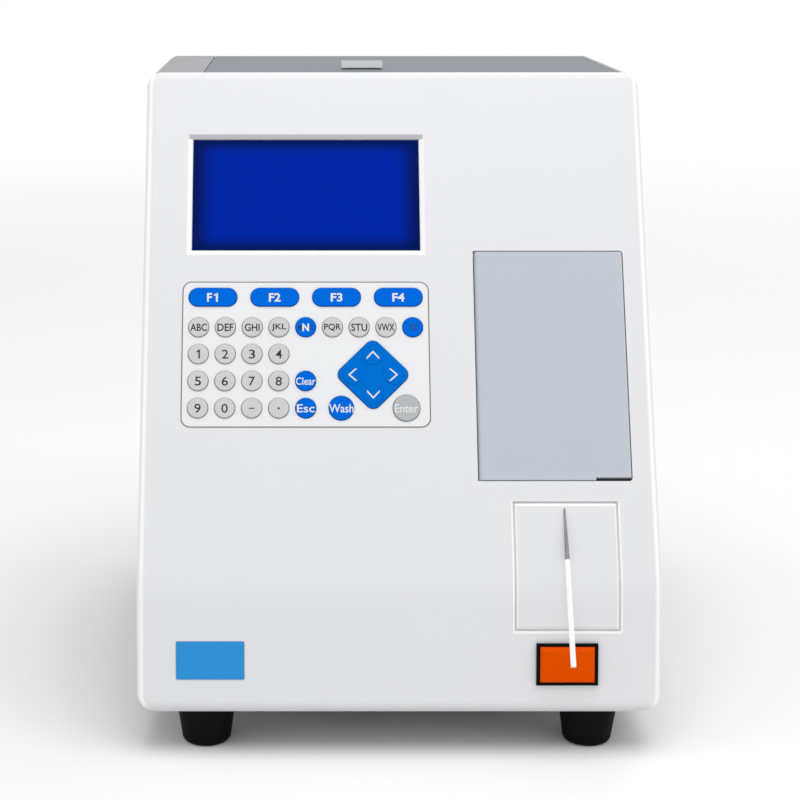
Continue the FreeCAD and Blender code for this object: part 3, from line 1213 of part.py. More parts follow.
def all_pieces():
    """Every piece by its node's name, drawn with the case's lower front edge on y = 0."""
    shell = case_solid().cut(case_hollow())
    pieces = {
        "front_bezel": front_bezel(shell),
        "case_cover": case_cover(shell),
        "base_tray": base_tray(shell),
        "rear_panel": rear_panel(),
        "top_lid": top_lid(),
        "hinge_pins": hinge_pins(),
        "display_window": display_window(),
        "panel_board": panel_board(),
        "keypad_overlay": keypad_overlay(),
        "pump_door": pump_door(),
        "pump_head": pump_head(),
        "pump_rotor": pump_rotor(),
        "pump_motor": pump_motor(),
        "sipper_needle": sipper_needle(),
        "sipper_sleeve": sipper_sleeve(),
        "aspirate_switch": aspirate_switch(),
        "aspirate_key": aspirate_key(),
        "badge_plate": badge_seat(0.0),
        "bay_tray": bay_tray(),
        "optics_block": optics_block(),
        "filter_wheel": filter_wheel(),
        "filter_motor": filter_motor(),
        "main_board": main_board(),
        "power_supply": power_supply(),
        "fan_frame": fan_frame(),
        "fan_rotor": fan_rotor(),
        "mains_inlet": mains_inlet(),
        "power_rocker": power_rocker(),
        "feet": feet(),
        "screws": screws(),
    }
    for name, kind, u, v, w, h in key_places():
        pieces[name] = key_cap(kind, u, v, w, h)
    return pieces


def main():
    """Centre the model on its box and write one file per piece."""
    pieces = all_pieces()
    box = Part.makeCompound(list(pieces.values())).optimalBoundingBox(True, False)
    shift = Vector(-(box.XMin + box.XMax) / 2, -(box.YMin + box.YMax) / 2, -box.ZMin)
    os.makedirs("parts", exist_ok=True)
    for name, shape in pieces.items():
        placed = shape.copy()
        placed.translate(shift)
        placed.exportStep(f"parts/{name}.step")
        print(name, len(placed.Solids), placed.isValid(), round(placed.Volume, 1))
    print("size", round(box.XLength, 3), round(box.YLength, 3), round(box.ZLength, 3))
    print("shift", shift)


main()
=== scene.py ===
import json
import math

import bmesh
import bpy
from mathutils import Matrix, Vector


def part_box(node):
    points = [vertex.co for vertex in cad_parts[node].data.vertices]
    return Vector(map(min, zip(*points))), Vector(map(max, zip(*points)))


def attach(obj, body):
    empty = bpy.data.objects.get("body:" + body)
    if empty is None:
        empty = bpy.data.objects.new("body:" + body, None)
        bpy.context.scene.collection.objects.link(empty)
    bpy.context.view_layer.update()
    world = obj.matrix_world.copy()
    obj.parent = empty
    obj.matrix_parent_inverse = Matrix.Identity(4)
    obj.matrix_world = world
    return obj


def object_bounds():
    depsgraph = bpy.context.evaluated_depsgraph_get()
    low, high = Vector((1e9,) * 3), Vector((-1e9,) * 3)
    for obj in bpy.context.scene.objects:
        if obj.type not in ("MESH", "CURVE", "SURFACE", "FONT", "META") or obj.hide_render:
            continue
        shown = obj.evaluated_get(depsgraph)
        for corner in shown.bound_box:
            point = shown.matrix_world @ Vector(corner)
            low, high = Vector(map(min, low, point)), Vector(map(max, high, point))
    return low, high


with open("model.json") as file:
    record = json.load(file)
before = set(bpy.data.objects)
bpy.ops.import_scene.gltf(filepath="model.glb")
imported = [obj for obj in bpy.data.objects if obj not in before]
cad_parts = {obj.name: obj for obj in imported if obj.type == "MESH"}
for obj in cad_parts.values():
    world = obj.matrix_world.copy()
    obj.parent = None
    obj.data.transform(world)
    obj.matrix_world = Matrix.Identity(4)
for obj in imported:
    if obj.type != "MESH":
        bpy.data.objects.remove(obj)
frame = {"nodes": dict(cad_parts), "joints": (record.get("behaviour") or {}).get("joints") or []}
cad_low, cad_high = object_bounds()
nodes = frame["nodes"]

# The view, the white table that the instrument stands on and the studio's soft light. The camera
# has a long lens, stands a little left of the middle, and looks down a little. Lengths are metres.
MM = 0.001
CAMERA_X = -45.7 * MM
CAMERA_TO_BACK = 1068.8 * MM
CAMERA_Z = 367.7 * MM
CAMERA_DOWN = math.radians(14.04)
CAMERA_LENS = 83.3
CAMERA_SHIFT = 0.125
TABLE_RADIUS = 2.4
TABLE_FADE_START = 0.5
TABLE_WHITE = 0.97
ROOM_LIGHT = 0.5
# Each soft box: its place, its power in watts and its side.
SOFT_BOXES = (
    ("soft_box_front", Vector((-0.4, -2.3, 0.8)), 2.6, 1.6),
    ("soft_box_left", Vector((-2.0, -0.2, 0.95)), 7.0, 1.5),
    ("soft_box_right", Vector((2.0, -0.5, 1.1)), 7.5, 1.5),
    ("soft_box_over", Vector((0.1, -0.35, 1.7)), 13.6, 1.4),
    ("soft_box_back", Vector((0.8, 1.9, 1.6)), 10.0, 1.4),
)

camera_data = bpy.data.cameras.new("camera")
camera_data.lens = CAMERA_LENS
camera_data.shift_x = CAMERA_SHIFT
camera = bpy.data.objects.new("camera", camera_data)
camera.location = (CAMERA_X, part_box("case_cover")[1].y - CAMERA_TO_BACK, CAMERA_Z)
camera.rotation_euler = (math.pi / 2 - CAMERA_DOWN, 0.0, 0.0)
bpy.context.scene.collection.objects.link(camera)
bpy.context.scene.camera = camera
bpy.context.scene.view_settings.view_transform = "Standard"

for name, place, power, side in SOFT_BOXES:
    light = bpy.data.lights.new(name, "AREA")
    light.energy = power
    light.size = side
    lamp = bpy.data.objects.new(name, light)
    lamp.location = place
    lamp.rotation_euler = (-place).to_track_quat("-Z", "Y").to_euler()
    bpy.context.scene.collection.objects.link(lamp)


def feed(tree, value, socket):
    """Links an input to another node's socket, or sets it to a number or colour."""
    if isinstance(value, bpy.types.NodeSocket):
        tree.links.new(value, socket)
    else:
        socket.default_value = value


def math_node(tree, operation, *values, clamp=False):
    """One Math node on numbers or sockets; returns its result."""
    node = tree.nodes.new("ShaderNodeMath")
    node.operation = operation
    node.use_clamp = clamp
    for socket, value in zip(node.inputs, values):
        feed(tree, value, socket)
    return node.outputs[0]


def ramp_between(tree, value, start, end, low=0.0, high=1.0):
    """A value eased from low to high while the input goes from start to end."""
    node = tree.nodes.new("ShaderNodeMapRange")
    node.interpolation_type = "SMOOTHSTEP"
    node.inputs["From Min"].default_value = start
    node.inputs["From Max"].default_value = end
    node.inputs["To Min"].default_value = low
    node.inputs["To Max"].default_value = high
    tree.links.new(value, node.inputs["Value"])
    return node.outputs["Result"]


world = bpy.data.worlds.new("room")
bpy.context.scene.world = world
world.use_nodes = True
room = world.node_tree
background = room.nodes["Background"]
rays = room.nodes.new("ShaderNodeLightPath")
seen = math_node(room, "MAXIMUM", rays.outputs["Is Camera Ray"], rays.outputs["Is Transmission Ray"])
seen = math_node(room, "MAXIMUM", seen, rays.outputs["Is Glossy Ray"])
strength = math_node(room, "MULTIPLY_ADD", seen, 1.0 - ROOM_LIGHT, ROOM_LIGHT)
background.inputs["Color"].default_value = (1.0, 1.0, 1.0, 1.0)
room.links.new(strength, background.inputs["Strength"])

table_mesh = bpy.data.meshes.new("table_top")
bm = bmesh.new()
bmesh.ops.create_circle(bm, cap_ends=True, segments=96, radius=TABLE_RADIUS)
bm.to_mesh(table_mesh)
bm.free()
table = bpy.data.objects.new("table_top", table_mesh)
bpy.context.scene.collection.objects.link(table)
paper = bpy.data.materials.new("table_paper")
paper.use_nodes = True
tree = paper.node_tree
shader = tree.nodes["Principled BSDF"]
shader.inputs["Base Color"].default_value = (TABLE_WHITE, TABLE_WHITE, TABLE_WHITE, 1.0)
shader.inputs["Roughness"].default_value = 0.9
shader.inputs["Specular IOR Level"].default_value = 0.0
spot = tree.nodes.new("ShaderNodeTexCoord")
distance = tree.nodes.new("ShaderNodeVectorMath")
distance.operation = "LENGTH"
tree.links.new(spot.outputs["Object"], distance.inputs[0])
clear = tree.nodes.new("ShaderNodeBsdfTransparent")
fade = tree.nodes.new("ShaderNodeMixShader")
tree.links.new(ramp_between(tree, distance.outputs["Value"], TABLE_FADE_START, TABLE_RADIUS), fade.inputs[0])
tree.links.new(shader.outputs[0], fade.inputs[1])
tree.links.new(clear.outputs[0], fade.inputs[2])
tree.links.new(fade.outputs[0], tree.nodes["Material Output"].inputs["Surface"])
table_mesh.materials.append(paper)


# The feet: four tapered black rubber feet, moulded, each held by a screw in its deep well. The
# rubber is dull, faintly mottled, and rubbed a little paler along its rims.
def tint(red, green, blue):
    """A colour given as it shows on a screen, 0 to 255, as a linear one."""
    shares = [c / 255 for c in (red, green, blue)]
    return tuple(s / 12.92 if s <= 0.04045 else ((s + 0.055) / 1.055) ** 2.4 for s in shares) + (1.0,)


def start_group(name, inputs, outputs):
    """A shader group with its named sockets, its inner ends and the place on the piece."""
    group = bpy.data.node_groups.new(name, "ShaderNodeTree")
    for label, kind, value in inputs:
        group.interface.new_socket(label, in_out="INPUT", socket_type=kind).default_value = value
    for label, kind in outputs:
        group.interface.new_socket(label, in_out="OUTPUT", socket_type=kind)
    entry = group.nodes.new("NodeGroupInput")
    result = group.nodes.new("NodeGroupOutput")
    place = group.nodes.new("ShaderNodeTexCoord").outputs["Object"]
    return group, entry, result, place


def noise(tree, place, size, detail=2.0, stretch=None):
    """Cloudy noise with lumps of about the given size, a length or a socket; 0 to 1."""
    if stretch is not None:
        mapping = tree.nodes.new("ShaderNodeMapping")
        tree.links.new(place, mapping.inputs["Vector"])
        mapping.inputs["Scale"].default_value = stretch
        place = mapping.outputs["Vector"]
    node = tree.nodes.new("ShaderNodeTexNoise")
    node.inputs["Detail"].default_value = detail
    tree.links.new(place, node.inputs["Vector"])
    tree.links.new(math_node(tree, "DIVIDE", 1.0, size), node.inputs["Scale"])
    return node.outputs["Fac"]


BEVEL_SAMPLES = 4
EDGE_GAIN = 3.0


def soft_edges(tree, radius):
    """The face's normal, rounded near its edges, and a mask of how near an edge is."""
    bevel = tree.nodes.new("ShaderNodeBevel")
    bevel.samples = BEVEL_SAMPLES
    feed(tree, radius, bevel.inputs["Radius"])
    geometry = tree.nodes.new("ShaderNodeNewGeometry")
    turn = tree.nodes.new("ShaderNodeVectorMath")
    turn.operation = "DOT_PRODUCT"
    tree.links.new(bevel.outputs["Normal"], turn.inputs[0])
    tree.links.new(geometry.outputs["Normal"], turn.inputs[1])
    mask = math_node(tree, "SUBTRACT", 1.0, turn.outputs["Value"])
    return bevel.outputs["Normal"], math_node(tree, "MULTIPLY", mask, EDGE_GAIN, clamp=True)


def brighten(tree, colour, factor):
    """A colour times a factor."""
    node = tree.nodes.new("ShaderNodeVectorMath")
    node.operation = "SCALE"
    tree.links.new(colour, node.inputs[0])
    tree.links.new(factor, node.inputs["Scale"])
    return node.outputs["Vector"]


def raise_grain(tree, height, depth, normal):
    """A Bump node: height 0 to 1 stands up to depth metres over the surface."""
    node = tree.nodes.new("ShaderNodeBump")
    tree.links.new(height, node.inputs["Height"])
    feed(tree, depth, node.inputs["Distance"])
    tree.links.new(normal, node.inputs["Normal"])
    return node.outputs["Normal"]


CLOUD_SIZE = 50.0 * MM
SMEAR_SIZE = 18.0 * MM
# The moulded skin: colour with a random drift, a fine grain and smeared gloss. Its edge input makes the
# colour paler near edges, or darker where it is negative. On some finishes that is rubbed wear; on the front,
# the lid and the orange cap it is a painted highlight, and on the grey keys it is painted shade.
moulded_skin, entry, result, place = start_group(
    "moulded_skin",
    (("Colour", "NodeSocketColor", (0.5, 0.5, 0.5, 1.0)), ("Drift", "NodeSocketFloat", 0.02),
     ("Roughness", "NodeSocketFloat", 0.4), ("Smears", "NodeSocketFloat", 0.06),
     ("Grain Size", "NodeSocketFloat", 0.0006), ("Grain Depth", "NodeSocketFloat", 0.00001),
     ("Edge Radius", "NodeSocketFloat", 0.0003), ("Edge Wear", "NodeSocketFloat", 0.04)),
    (("Colour", "NodeSocketColor"), ("Roughness", "NodeSocketFloat"), ("Normal", "NodeSocketVector")))
grain = noise(moulded_skin, place, entry.outputs["Grain Size"])
clouds = math_node(moulded_skin, "SUBTRACT", noise(moulded_skin, place, CLOUD_SIZE, 3.0), 0.5)
smears = math_node(moulded_skin, "SUBTRACT", noise(moulded_skin, place, SMEAR_SIZE, 5.0), 0.5)
normal, edge = soft_edges(moulded_skin, entry.outputs["Edge Radius"])
factor = math_node(moulded_skin, "MULTIPLY_ADD", clouds, entry.outputs["Drift"], 1.0)
factor = math_node(moulded_skin, "MULTIPLY_ADD", edge, entry.outputs["Edge Wear"], factor)
colour = brighten(moulded_skin, entry.outputs["Colour"], factor)
moulded_skin.links.new(colour, result.inputs["Colour"])
rough = math_node(moulded_skin, "MULTIPLY_ADD", smears, entry.outputs["Smears"], entry.outputs["Roughness"])
moulded_skin.links.new(rough, result.inputs["Roughness"])
moulded_skin.links.new(raise_grain(moulded_skin, grain, entry.outputs["Grain Depth"], normal),
                       result.inputs["Normal"])


def start_material(name, specular=0.5, metallic=0.0, coat=0.0, coat_roughness=0.03):
    """A material with its tree and shader; what is the same all over is set on the shader."""
    material = bpy.data.materials.new(name)
    material.use_nodes = True
    tree = material.node_tree
    shader = tree.nodes["Principled BSDF"]
    shader.inputs["Specular IOR Level"].default_value = specular
    shader.inputs["Metallic"].default_value = metallic
    shader.inputs["Coat Weight"].default_value = coat
    shader.inputs["Coat Roughness"].default_value = coat_roughness
    return material, tree, shader


def use_group(tree, group, shader, **values):
    """Places a group, sets its inputs by name and feeds its results to the shader."""
    node = tree.nodes.new("ShaderNodeGroup")
    node.node_tree = group
    for label, value in values.items():
        node.inputs[label.replace("_", " ")].default_value = value
    targets = {"Colour": "Base Color", "Roughness": "Roughness", "Normal": "Normal"}
    for label, target in targets.items():
        tree.links.new(node.outputs[label], shader.inputs[target])
    return node


def mix_colours(tree, mask, under, over):
    """The colour under the mask where it is 0, and the one over it where it is 1."""
    mix = tree.nodes.new("ShaderNodeMix")
    mix.data_type = "RGBA"
    tree.links.new(mask, mix.inputs["Factor"])
    feed(tree, under, mix.inputs["A"])
    feed(tree, over, mix.inputs["B"])
    return mix.outputs["Result"]


def moulded(name, colour, specular=0.5, coat=0.0, **values):
    """A moulded or painted finish."""
    material, tree, shader = start_material(name, specular, coat=coat)
    use_group(tree, moulded_skin, shader, Colour=colour, **values)
    return material


def dress(material, *names):
    """Gives CAD nodes their material."""
    for name in names:
        slots = nodes[name].data.materials
        slots.clear()
        slots.append(material)


def object_axes(tree):
    """The place on the piece, as three sockets."""
    spot = tree.nodes.new("ShaderNodeTexCoord")
    axes = tree.nodes.new("ShaderNodeSeparateXYZ")
    tree.links.new(spot.outputs["Object"], axes.inputs[0])
    return axes.outputs["X"], axes.outputs["Y"], axes.outputs["Z"]


def facing_axes(tree):
    """The way that the surface faces, as three sockets."""
    geometry = tree.nodes.new("ShaderNodeNewGeometry")
    axes = tree.nodes.new("ShaderNodeSeparateXYZ")
    tree.links.new(geometry.outputs["Normal"], axes.inputs[0])
    return axes.outputs["X"], axes.outputs["Y"], axes.outputs["Z"]


foot_rubber = moulded("foot_rubber", tint(8, 8, 9), specular=0.08, Drift=0.3, Roughness=0.62, Smears=0.2,
                      Grain_Size=0.0011, Grain_Depth=0.00006, Edge_Radius=0.0005, Edge_Wear=0.9)
dress(foot_rubber, "feet")

# The bottom tray and the cover: bent steel sheet under fine textured grey paint, rubbed a little
# paler along the folds. The cover makes both sides and the strip left of the lid.
COVER_GREY = tint(150, 151, 153)
cover_paint = moulded("cover_paint", COVER_GREY, specular=0.1, Drift=0.05, Roughness=0.5, Smears=0.12,
                      Grain_Size=0.0007, Grain_Depth=0.00005, Edge_Radius=0.0006, Edge_Wear=0.10)
tray_paint = moulded("tray_paint", tint(142, 143, 145), specular=0.1, Drift=0.06, Roughness=0.54, Smears=0.14,
                     Grain_Size=0.0007, Grain_Depth=0.00005, Edge_Radius=0.0006, Edge_Wear=0.10)
dress(cover_paint, "case_cover")
dress(tray_paint, "base_tray")

# The rear panel: flat painted sheet with punched slots, cut clean so that the edges of the slots
# are a little brighter. The screws that hold it, and those of the feet, are black zinc.
rear_paint = moulded("rear_paint", tint(172, 174, 176), specular=0.4, Drift=0.05, Roughness=0.48, Smears=0.12,
                     Grain_Size=0.0008, Grain_Depth=0.00004, Edge_Radius=0.0003, Edge_Wear=0.22)
dress(rear_paint, "rear_panel")

TARNISH_SIZE = 9.0 * MM
LINE_STRETCH = (0.06, 1.0, 1.0)
LINE_ROUGHNESS = 0.08
RUBBED_EDGE = 0.15
turned_metal, entry, result, place = start_group(
    "turned_metal",
    (("Colour", "NodeSocketColor", (0.6, 0.6, 0.6, 1.0)), ("Roughness", "NodeSocketFloat", 0.3),
     ("Line Size", "NodeSocketFloat", 0.0005), ("Line Depth", "NodeSocketFloat", 0.00001),
     ("Edge Radius", "NodeSocketFloat", 0.0002), ("Tarnish", "NodeSocketFloat", 0.1)),
    (("Colour", "NodeSocketColor"), ("Roughness", "NodeSocketFloat"), ("Normal", "NodeSocketVector")))
lines = noise(turned_metal, place, entry.outputs["Line Size"], 3.0, stretch=LINE_STRETCH)
clouds = math_node(turned_metal, "SUBTRACT", noise(turned_metal, place, TARNISH_SIZE, 4.0), 0.5)
normal, edge = soft_edges(turned_metal, entry.outputs["Edge Radius"])
dull = math_node(turned_metal, "MULTIPLY", clouds, entry.outputs["Tarnish"])
factor = math_node(turned_metal, "MULTIPLY_ADD", edge, RUBBED_EDGE, 1.0)
factor = math_node(turned_metal, "ADD", factor, dull)
turned_metal.links.new(brighten(turned_metal, entry.outputs["Colour"], factor), result.inputs["Colour"])
rough = math_node(turned_metal, "SUBTRACT", entry.outputs["Roughness"], dull)
rough = math_node(turned_metal, "MULTIPLY_ADD", lines, LINE_ROUGHNESS, rough)
turned_metal.links.new(rough, result.inputs["Roughness"])
turned_metal.links.new(raise_grain(turned_metal, lines, entry.outputs["Line Depth"], normal),
                       result.inputs["Normal"])


def metal(name, colour, **values):
    """A bare, plated or anodised metal."""
    material, tree, shader = start_material(name, metallic=1.0)
    use_group(tree, turned_metal, shader, Colour=colour, **values)
    return material


screw_zinc = metal("screw_zinc", tint(88, 88, 92), Roughness=0.38, Line_Size=0.0004, Tarnish=0.2)
dress(screw_zinc, "screws")

# The fan behind the slots: a black frame and a rotor with its blades, both moulded in glass-filled
# plastic, which leaves a faint grain. The frame sits against the rear panel.
fan_plastic = moulded("fan_plastic", tint(46, 46, 48), specular=0.4, Drift=0.2, Roughness=0.45, Smears=0.15,
                      Grain_Size=0.0009, Grain_Depth=0.00003, Edge_Radius=0.0004, Edge_Wear=0.5)
dress(fan_plastic, "fan_frame", "fan_rotor")

# The mains inlet: black thermoplastic with three plated blades deep in its socket. The mask below
# picks the blades out of the moulding by their place.
inlet_low, inlet_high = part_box("mains_inlet")
inlet_middle = (inlet_low + inlet_high) / 2
SOCKET_DROP = 10.5 * MM
SOCKET_REACH = Vector((9.5, 6.0)) * MM
BLADE_BACK = 16.8 * MM
BLADE_FRONT = 4.75 * MM
BLADE_PLATED = tint(200, 196, 186)
inlet_plastic, tree, shader = start_material("inlet_plastic", specular=0.45)
skin = use_group(tree, moulded_skin, shader, Colour=tint(38, 38, 40), Drift=0.2, Roughness=0.4, Smears=0.15,
                 Grain_Size=0.0008, Grain_Depth=0.00003, Edge_Radius=0.0004, Edge_Wear=0.5)
x, y, z = object_axes(tree)
across = math_node(tree, "COMPARE", x, inlet_middle.x, SOCKET_REACH.x)
upward = math_node(tree, "COMPARE", z, inlet_middle.z - SOCKET_DROP, SOCKET_REACH.y)
inward = math_node(tree, "GREATER_THAN", y, inlet_high.y - BLADE_BACK)
outward = math_node(tree, "LESS_THAN", y, inlet_high.y - BLADE_FRONT)
blade = math_node(tree, "MULTIPLY", math_node(tree, "MULTIPLY", across, upward),
                  math_node(tree, "MULTIPLY", inward, outward))
colour = mix_colours(tree, blade, skin.outputs["Colour"], BLADE_PLATED)
tree.links.new(colour, shader.inputs["Base Color"])
tree.links.new(blade, shader.inputs["Metallic"])
dress(inlet_plastic, "mains_inlet")


# The power rocker: glossy black, with the two usual marks, a bar and a ring, pad-printed in white
# on its two faces.
def new_piece(name, bm, material, body):
    """Turns a finished bmesh into a piece that rides on a body."""
    mesh = bpy.data.meshes.new(name)
    bm.to_mesh(mesh)
    bm.free()
    mesh.materials.append(material)
    piece = bpy.data.objects.new(name, mesh)
    bpy.context.scene.collection.objects.link(piece)
    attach(piece, body)


def facing(place, up, out):
    """A frame at place with its Z along out and its Y along up."""
    side = up.cross(out)
    frame_matrix = Matrix((side, up, out)).transposed().to_4x4()
    frame_matrix.translation = place
    return frame_matrix


def new_verts(made):
    """The points among what an operator made."""
    return [v for v in made["geom"] if isinstance(v, bmesh.types.BMVert)]


def raise_flat(bm, thickness):
    """Turns a flat shape into a plate of that thickness, its underside where the shape was."""
    raised = bmesh.ops.extrude_face_region(bm, geom=bm.faces[:])
    bmesh.ops.translate(bm, vec=(0.0, 0.0, thickness), verts=new_verts(raised))
    bmesh.ops.recalc_face_normals(bm, faces=bm.faces[:])


def rounded_flat(bm, width, height, corner, steps=6):
    """A flat rectangle with round corners about the origin."""
    made = bmesh.ops.create_grid(bm, x_segments=1, y_segments=1, size=0.5)
    bmesh.ops.scale(bm, vec=(width, height, 1.0), verts=made["verts"])
    bmesh.ops.bevel(bm, geom=made["verts"], offset=corner, segments=steps, profile=0.5, affect="VERTICES",
                    material=-1)


def joint_place(name):
    """The point that a joint of the CAD frame turns about."""
    return Vector(next(j for j in frame["joints"] if j["name"] == name)["pos_m"])


ROCKER_TILT = math.radians(8.0)
ROCKER_HALF = 5.5 * MM
ROCKER_CREST = 1.2 * MM
BAR_W = 0.7 * MM
BAR_H = 3.0 * MM
BAR_CORNER = 0.1 * MM
RING_R = 1.5 * MM
RING_HOLE_SHARE = 0.6
MARK_WHITE = tint(228, 228, 226)
INK_T = 0.04 * MM
rocker_gloss = moulded("rocker_gloss", tint(30, 30, 32), coat=0.4, Drift=0.1, Roughness=0.25, Smears=0.15,
                       Grain_Size=0.001, Grain_Depth=0.00001, Edge_Radius=0.0004, Edge_Wear=0.5)
dress(rocker_gloss, "power_rocker")
white_ink = moulded("white_ink", MARK_WHITE, specular=0.3, Drift=0.03, Roughness=0.5, Grain_Size=0.0002,
                    Grain_Depth=0.000004, Edge_Radius=0.00002, Edge_Wear=0.0)
rocker_axis = joint_place("rocker_tilt")
rocker_reach = inlet_high.y - rocker_axis.y + ROCKER_CREST
rocker_lean = Matrix.Rotation(ROCKER_TILT, 3, "X")
for name, way in (("rocker_mark_on", 1), ("rocker_mark_off", -1)):
    out = rocker_lean @ Matrix.Rotation(way * ROCKER_TILT, 3, "X") @ Vector((0.0, 1.0, 0.0))
    up = out.cross(Vector((-1.0, 0.0, 0.0)))
    drop = ROCKER_HALF / 2 * math.tan(ROCKER_TILT)
    middle = rocker_axis + rocker_lean @ Vector((0.0, rocker_reach - drop, way * ROCKER_HALF / 2))
    bm = bmesh.new()
    if way > 0:
        rounded_flat(bm, BAR_W, BAR_H, BAR_CORNER, 2)
    else:
        bmesh.ops.create_circle(bm, segments=32, radius=RING_R)
        rim = bmesh.ops.extrude_edge_only(bm, edges=bm.edges[:])
        bmesh.ops.scale(bm, vec=(RING_HOLE_SHARE, RING_HOLE_SHARE, 1.0), verts=new_verts(rim))
    raise_flat(bm, INK_T)
    bmesh.ops.transform(bm, matrix=facing(middle, up, out), verts=bm.verts[:])
    new_piece(name, bm, white_ink, "rocker")

# The electronics: green glass-fibre boards with black parts soldered on them, and a supply in a
# zinc plated steel box. Whatever stands higher than the main board's own face is a part.
TRACKS_IN_METRE = 160.0
TRACK_SHARE = 0.06
TRACK_DEPTH = 0.03 * MM
TRACK_GAIN = 0.9
BOARD_GREEN = (0.03, 0.2, 0.09, 1.0)
BOARD_ROUGHNESS = 0.35
BOARD_EDGE_R = 0.2 * MM
PART_BLACK = (0.02, 0.02, 0.022, 1.0)
PART_ROUGHER = 0.2
circuit_skin, entry, result, place = start_group(
    "circuit_skin",
    (("Colour", "NodeSocketColor", BOARD_GREEN), ("Face Level", "NodeSocketFloat", 0.0)),
    (("Colour", "NodeSocketColor"), ("Roughness", "NodeSocketFloat"), ("Normal", "NodeSocketVector")))
tracks = circuit_skin.nodes.new("ShaderNodeTexBrick")
tracks.inputs["Scale"].default_value = TRACKS_IN_METRE
tracks.inputs["Mortar Size"].default_value = TRACK_SHARE
tracks.inputs["Color1"].default_value = (0.0, 0.0, 0.0, 1.0)
tracks.inputs["Color2"].default_value = (0.15, 0.15, 0.15, 1.0)
tracks.inputs["Mortar"].default_value = (1.0, 1.0, 1.0, 1.0)
circuit_skin.links.new(place, tracks.inputs["Vector"])
paler = math_node(circuit_skin, "MULTIPLY_ADD", tracks.outputs["Color"], TRACK_GAIN, 1.0)
part = math_node(circuit_skin, "GREATER_THAN", object_axes(circuit_skin)[2], entry.outputs["Face Level"])
colour = mix_colours(circuit_skin, part, brighten(circuit_skin, entry.outputs["Colour"], paler), PART_BLACK)
circuit_skin.links.new(colour, result.inputs["Colour"])
rough = math_node(circuit_skin, "MULTIPLY_ADD", part, PART_ROUGHER, BOARD_ROUGHNESS)
circuit_skin.links.new(rough, result.inputs["Roughness"])
normal, edge = soft_edges(circuit_skin, BOARD_EDGE_R)
circuit_skin.links.new(raise_grain(circuit_skin, tracks.outputs["Color"], TRACK_DEPTH, normal),
                       result.inputs["Normal"])
BOARD_T = 1.6 * MM
BOARD_SLACK = 0.016 * MM
main_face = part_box("main_board")[0].z + BOARD_T
main_green, tree, shader = start_material("main_green")
use_group(tree, circuit_skin, shader, Colour=BOARD_GREEN, Face_Level=main_face + BOARD_SLACK)
dress(main_green, "main_board")
front_green, tree, shader = start_material("front_green")
use_group(tree, circuit_skin, shader, Colour=BOARD_GREEN, Face_Level=cad_high.z)
dress(front_green, "panel_board")
zinc_plate = metal("zinc_plate", tint(196, 198, 200), Roughness=0.34, Line_Size=0.0009, Tarnish=0.25)
dress(zinc_plate, "power_supply")

# The bay under the lid: a deep tray in dark paint, with the optics block of black anodised
# aluminium, the filter wheel and its motor standing in it.
bay_paint = moulded("bay_paint", tint(74, 76, 79), specular=0.4, Drift=0.08, Roughness=0.55, Smears=0.1,
                    Grain_Size=0.0007, Grain_Depth=0.00005, Edge_Radius=0.0005, Edge_Wear=0.4)
dress(bay_paint, "bay_tray")
anodised = metal("black_anodised", tint(52, 52, 56), Roughness=0.42, Line_Size=0.0006, Line_Depth=0.00002,
                 Tarnish=0.08)
dress(anodised, "optics_block", "filter_wheel")
motor_can = metal("motor_can", tint(140, 142, 144), Roughness=0.36, Line_Size=0.0006, Tarnish=0.15)
dress(motor_can, "filter_motor", "pump_motor")

# The eight filters in the wheel: glass discs with metal-oxide coatings that pass one colour each,
# from violet to deep red, glued into the wheel's windows.
FILTER_COLOURS = ((70, 40, 190), (30, 90, 220), (20, 170, 200), (40, 170, 80), (190, 200, 40), (230, 150, 30),
                  (220, 70, 30), (150, 20, 30))
FILTER_R = 4.45 * MM
FILTER_RING_R = 20.0 * MM
FILTER_T = 2.0 * MM
FILTER_CHAMFER = 0.25 * MM
wheel_axis = joint_place("filter_spin")
for i, (red, green, blue) in enumerate(FILTER_COLOURS):
    angle = 2 * math.pi * (i + 0.5) / len(FILTER_COLOURS)
    glass, tree, shader = start_material(f"filter_coating_{i + 1}", metallic=0.6, coat=1.0)
    use_group(tree, turned_metal, shader, Colour=tint(red, green, blue), Roughness=0.12, Line_Depth=0.0,
              Tarnish=0.2)
    bm = bmesh.new()
    bmesh.ops.create_cone(bm, cap_ends=True, segments=40, radius1=FILTER_R, radius2=FILTER_R, depth=FILTER_T)
    rims = [e for e in bm.edges if abs(e.verts[0].co.z - e.verts[1].co.z) < FILTER_T / 2]
    bmesh.ops.bevel(bm, geom=rims, offset=FILTER_CHAMFER, segments=2, profile=0.5, affect="EDGES",
                    material=-1)
    around = Vector((0.0, math.cos(angle), math.sin(angle)))
    bmesh.ops.transform(bm, verts=bm.verts[:],
                        matrix=facing(wheel_axis + FILTER_RING_R * around, around, Vector((1.0, 0.0, 0.0))))
    new_piece(f"filter_{i + 1}", bm, glass, "filter_disc")

# The lid: a smooth cool grey moulding under a thin clear coat, with a small raised finger pull whose
# front face is painted paler as a painted highlight, and a painted highlight along the lid's rounded
# edges. It turns on two bright steel pins, and the door has two more.
PULL_FACE_H = 4.5 * MM
PULL_FACE_TURN = -0.4
PULL_HIGHLIGHT_GREY = tint(240, 242, 245)
lid_gloss, tree, shader = start_material("lid_gloss", specular=0.0, coat=0.06, coat_roughness=0.12)
skin = use_group(tree, moulded_skin, shader, Colour=tint(140, 144, 149), Drift=0.03, Roughness=0.5,
                 Smears=0.08, Grain_Size=0.003, Grain_Depth=0.00001, Edge_Radius=0.0006, Edge_Wear=0.5)
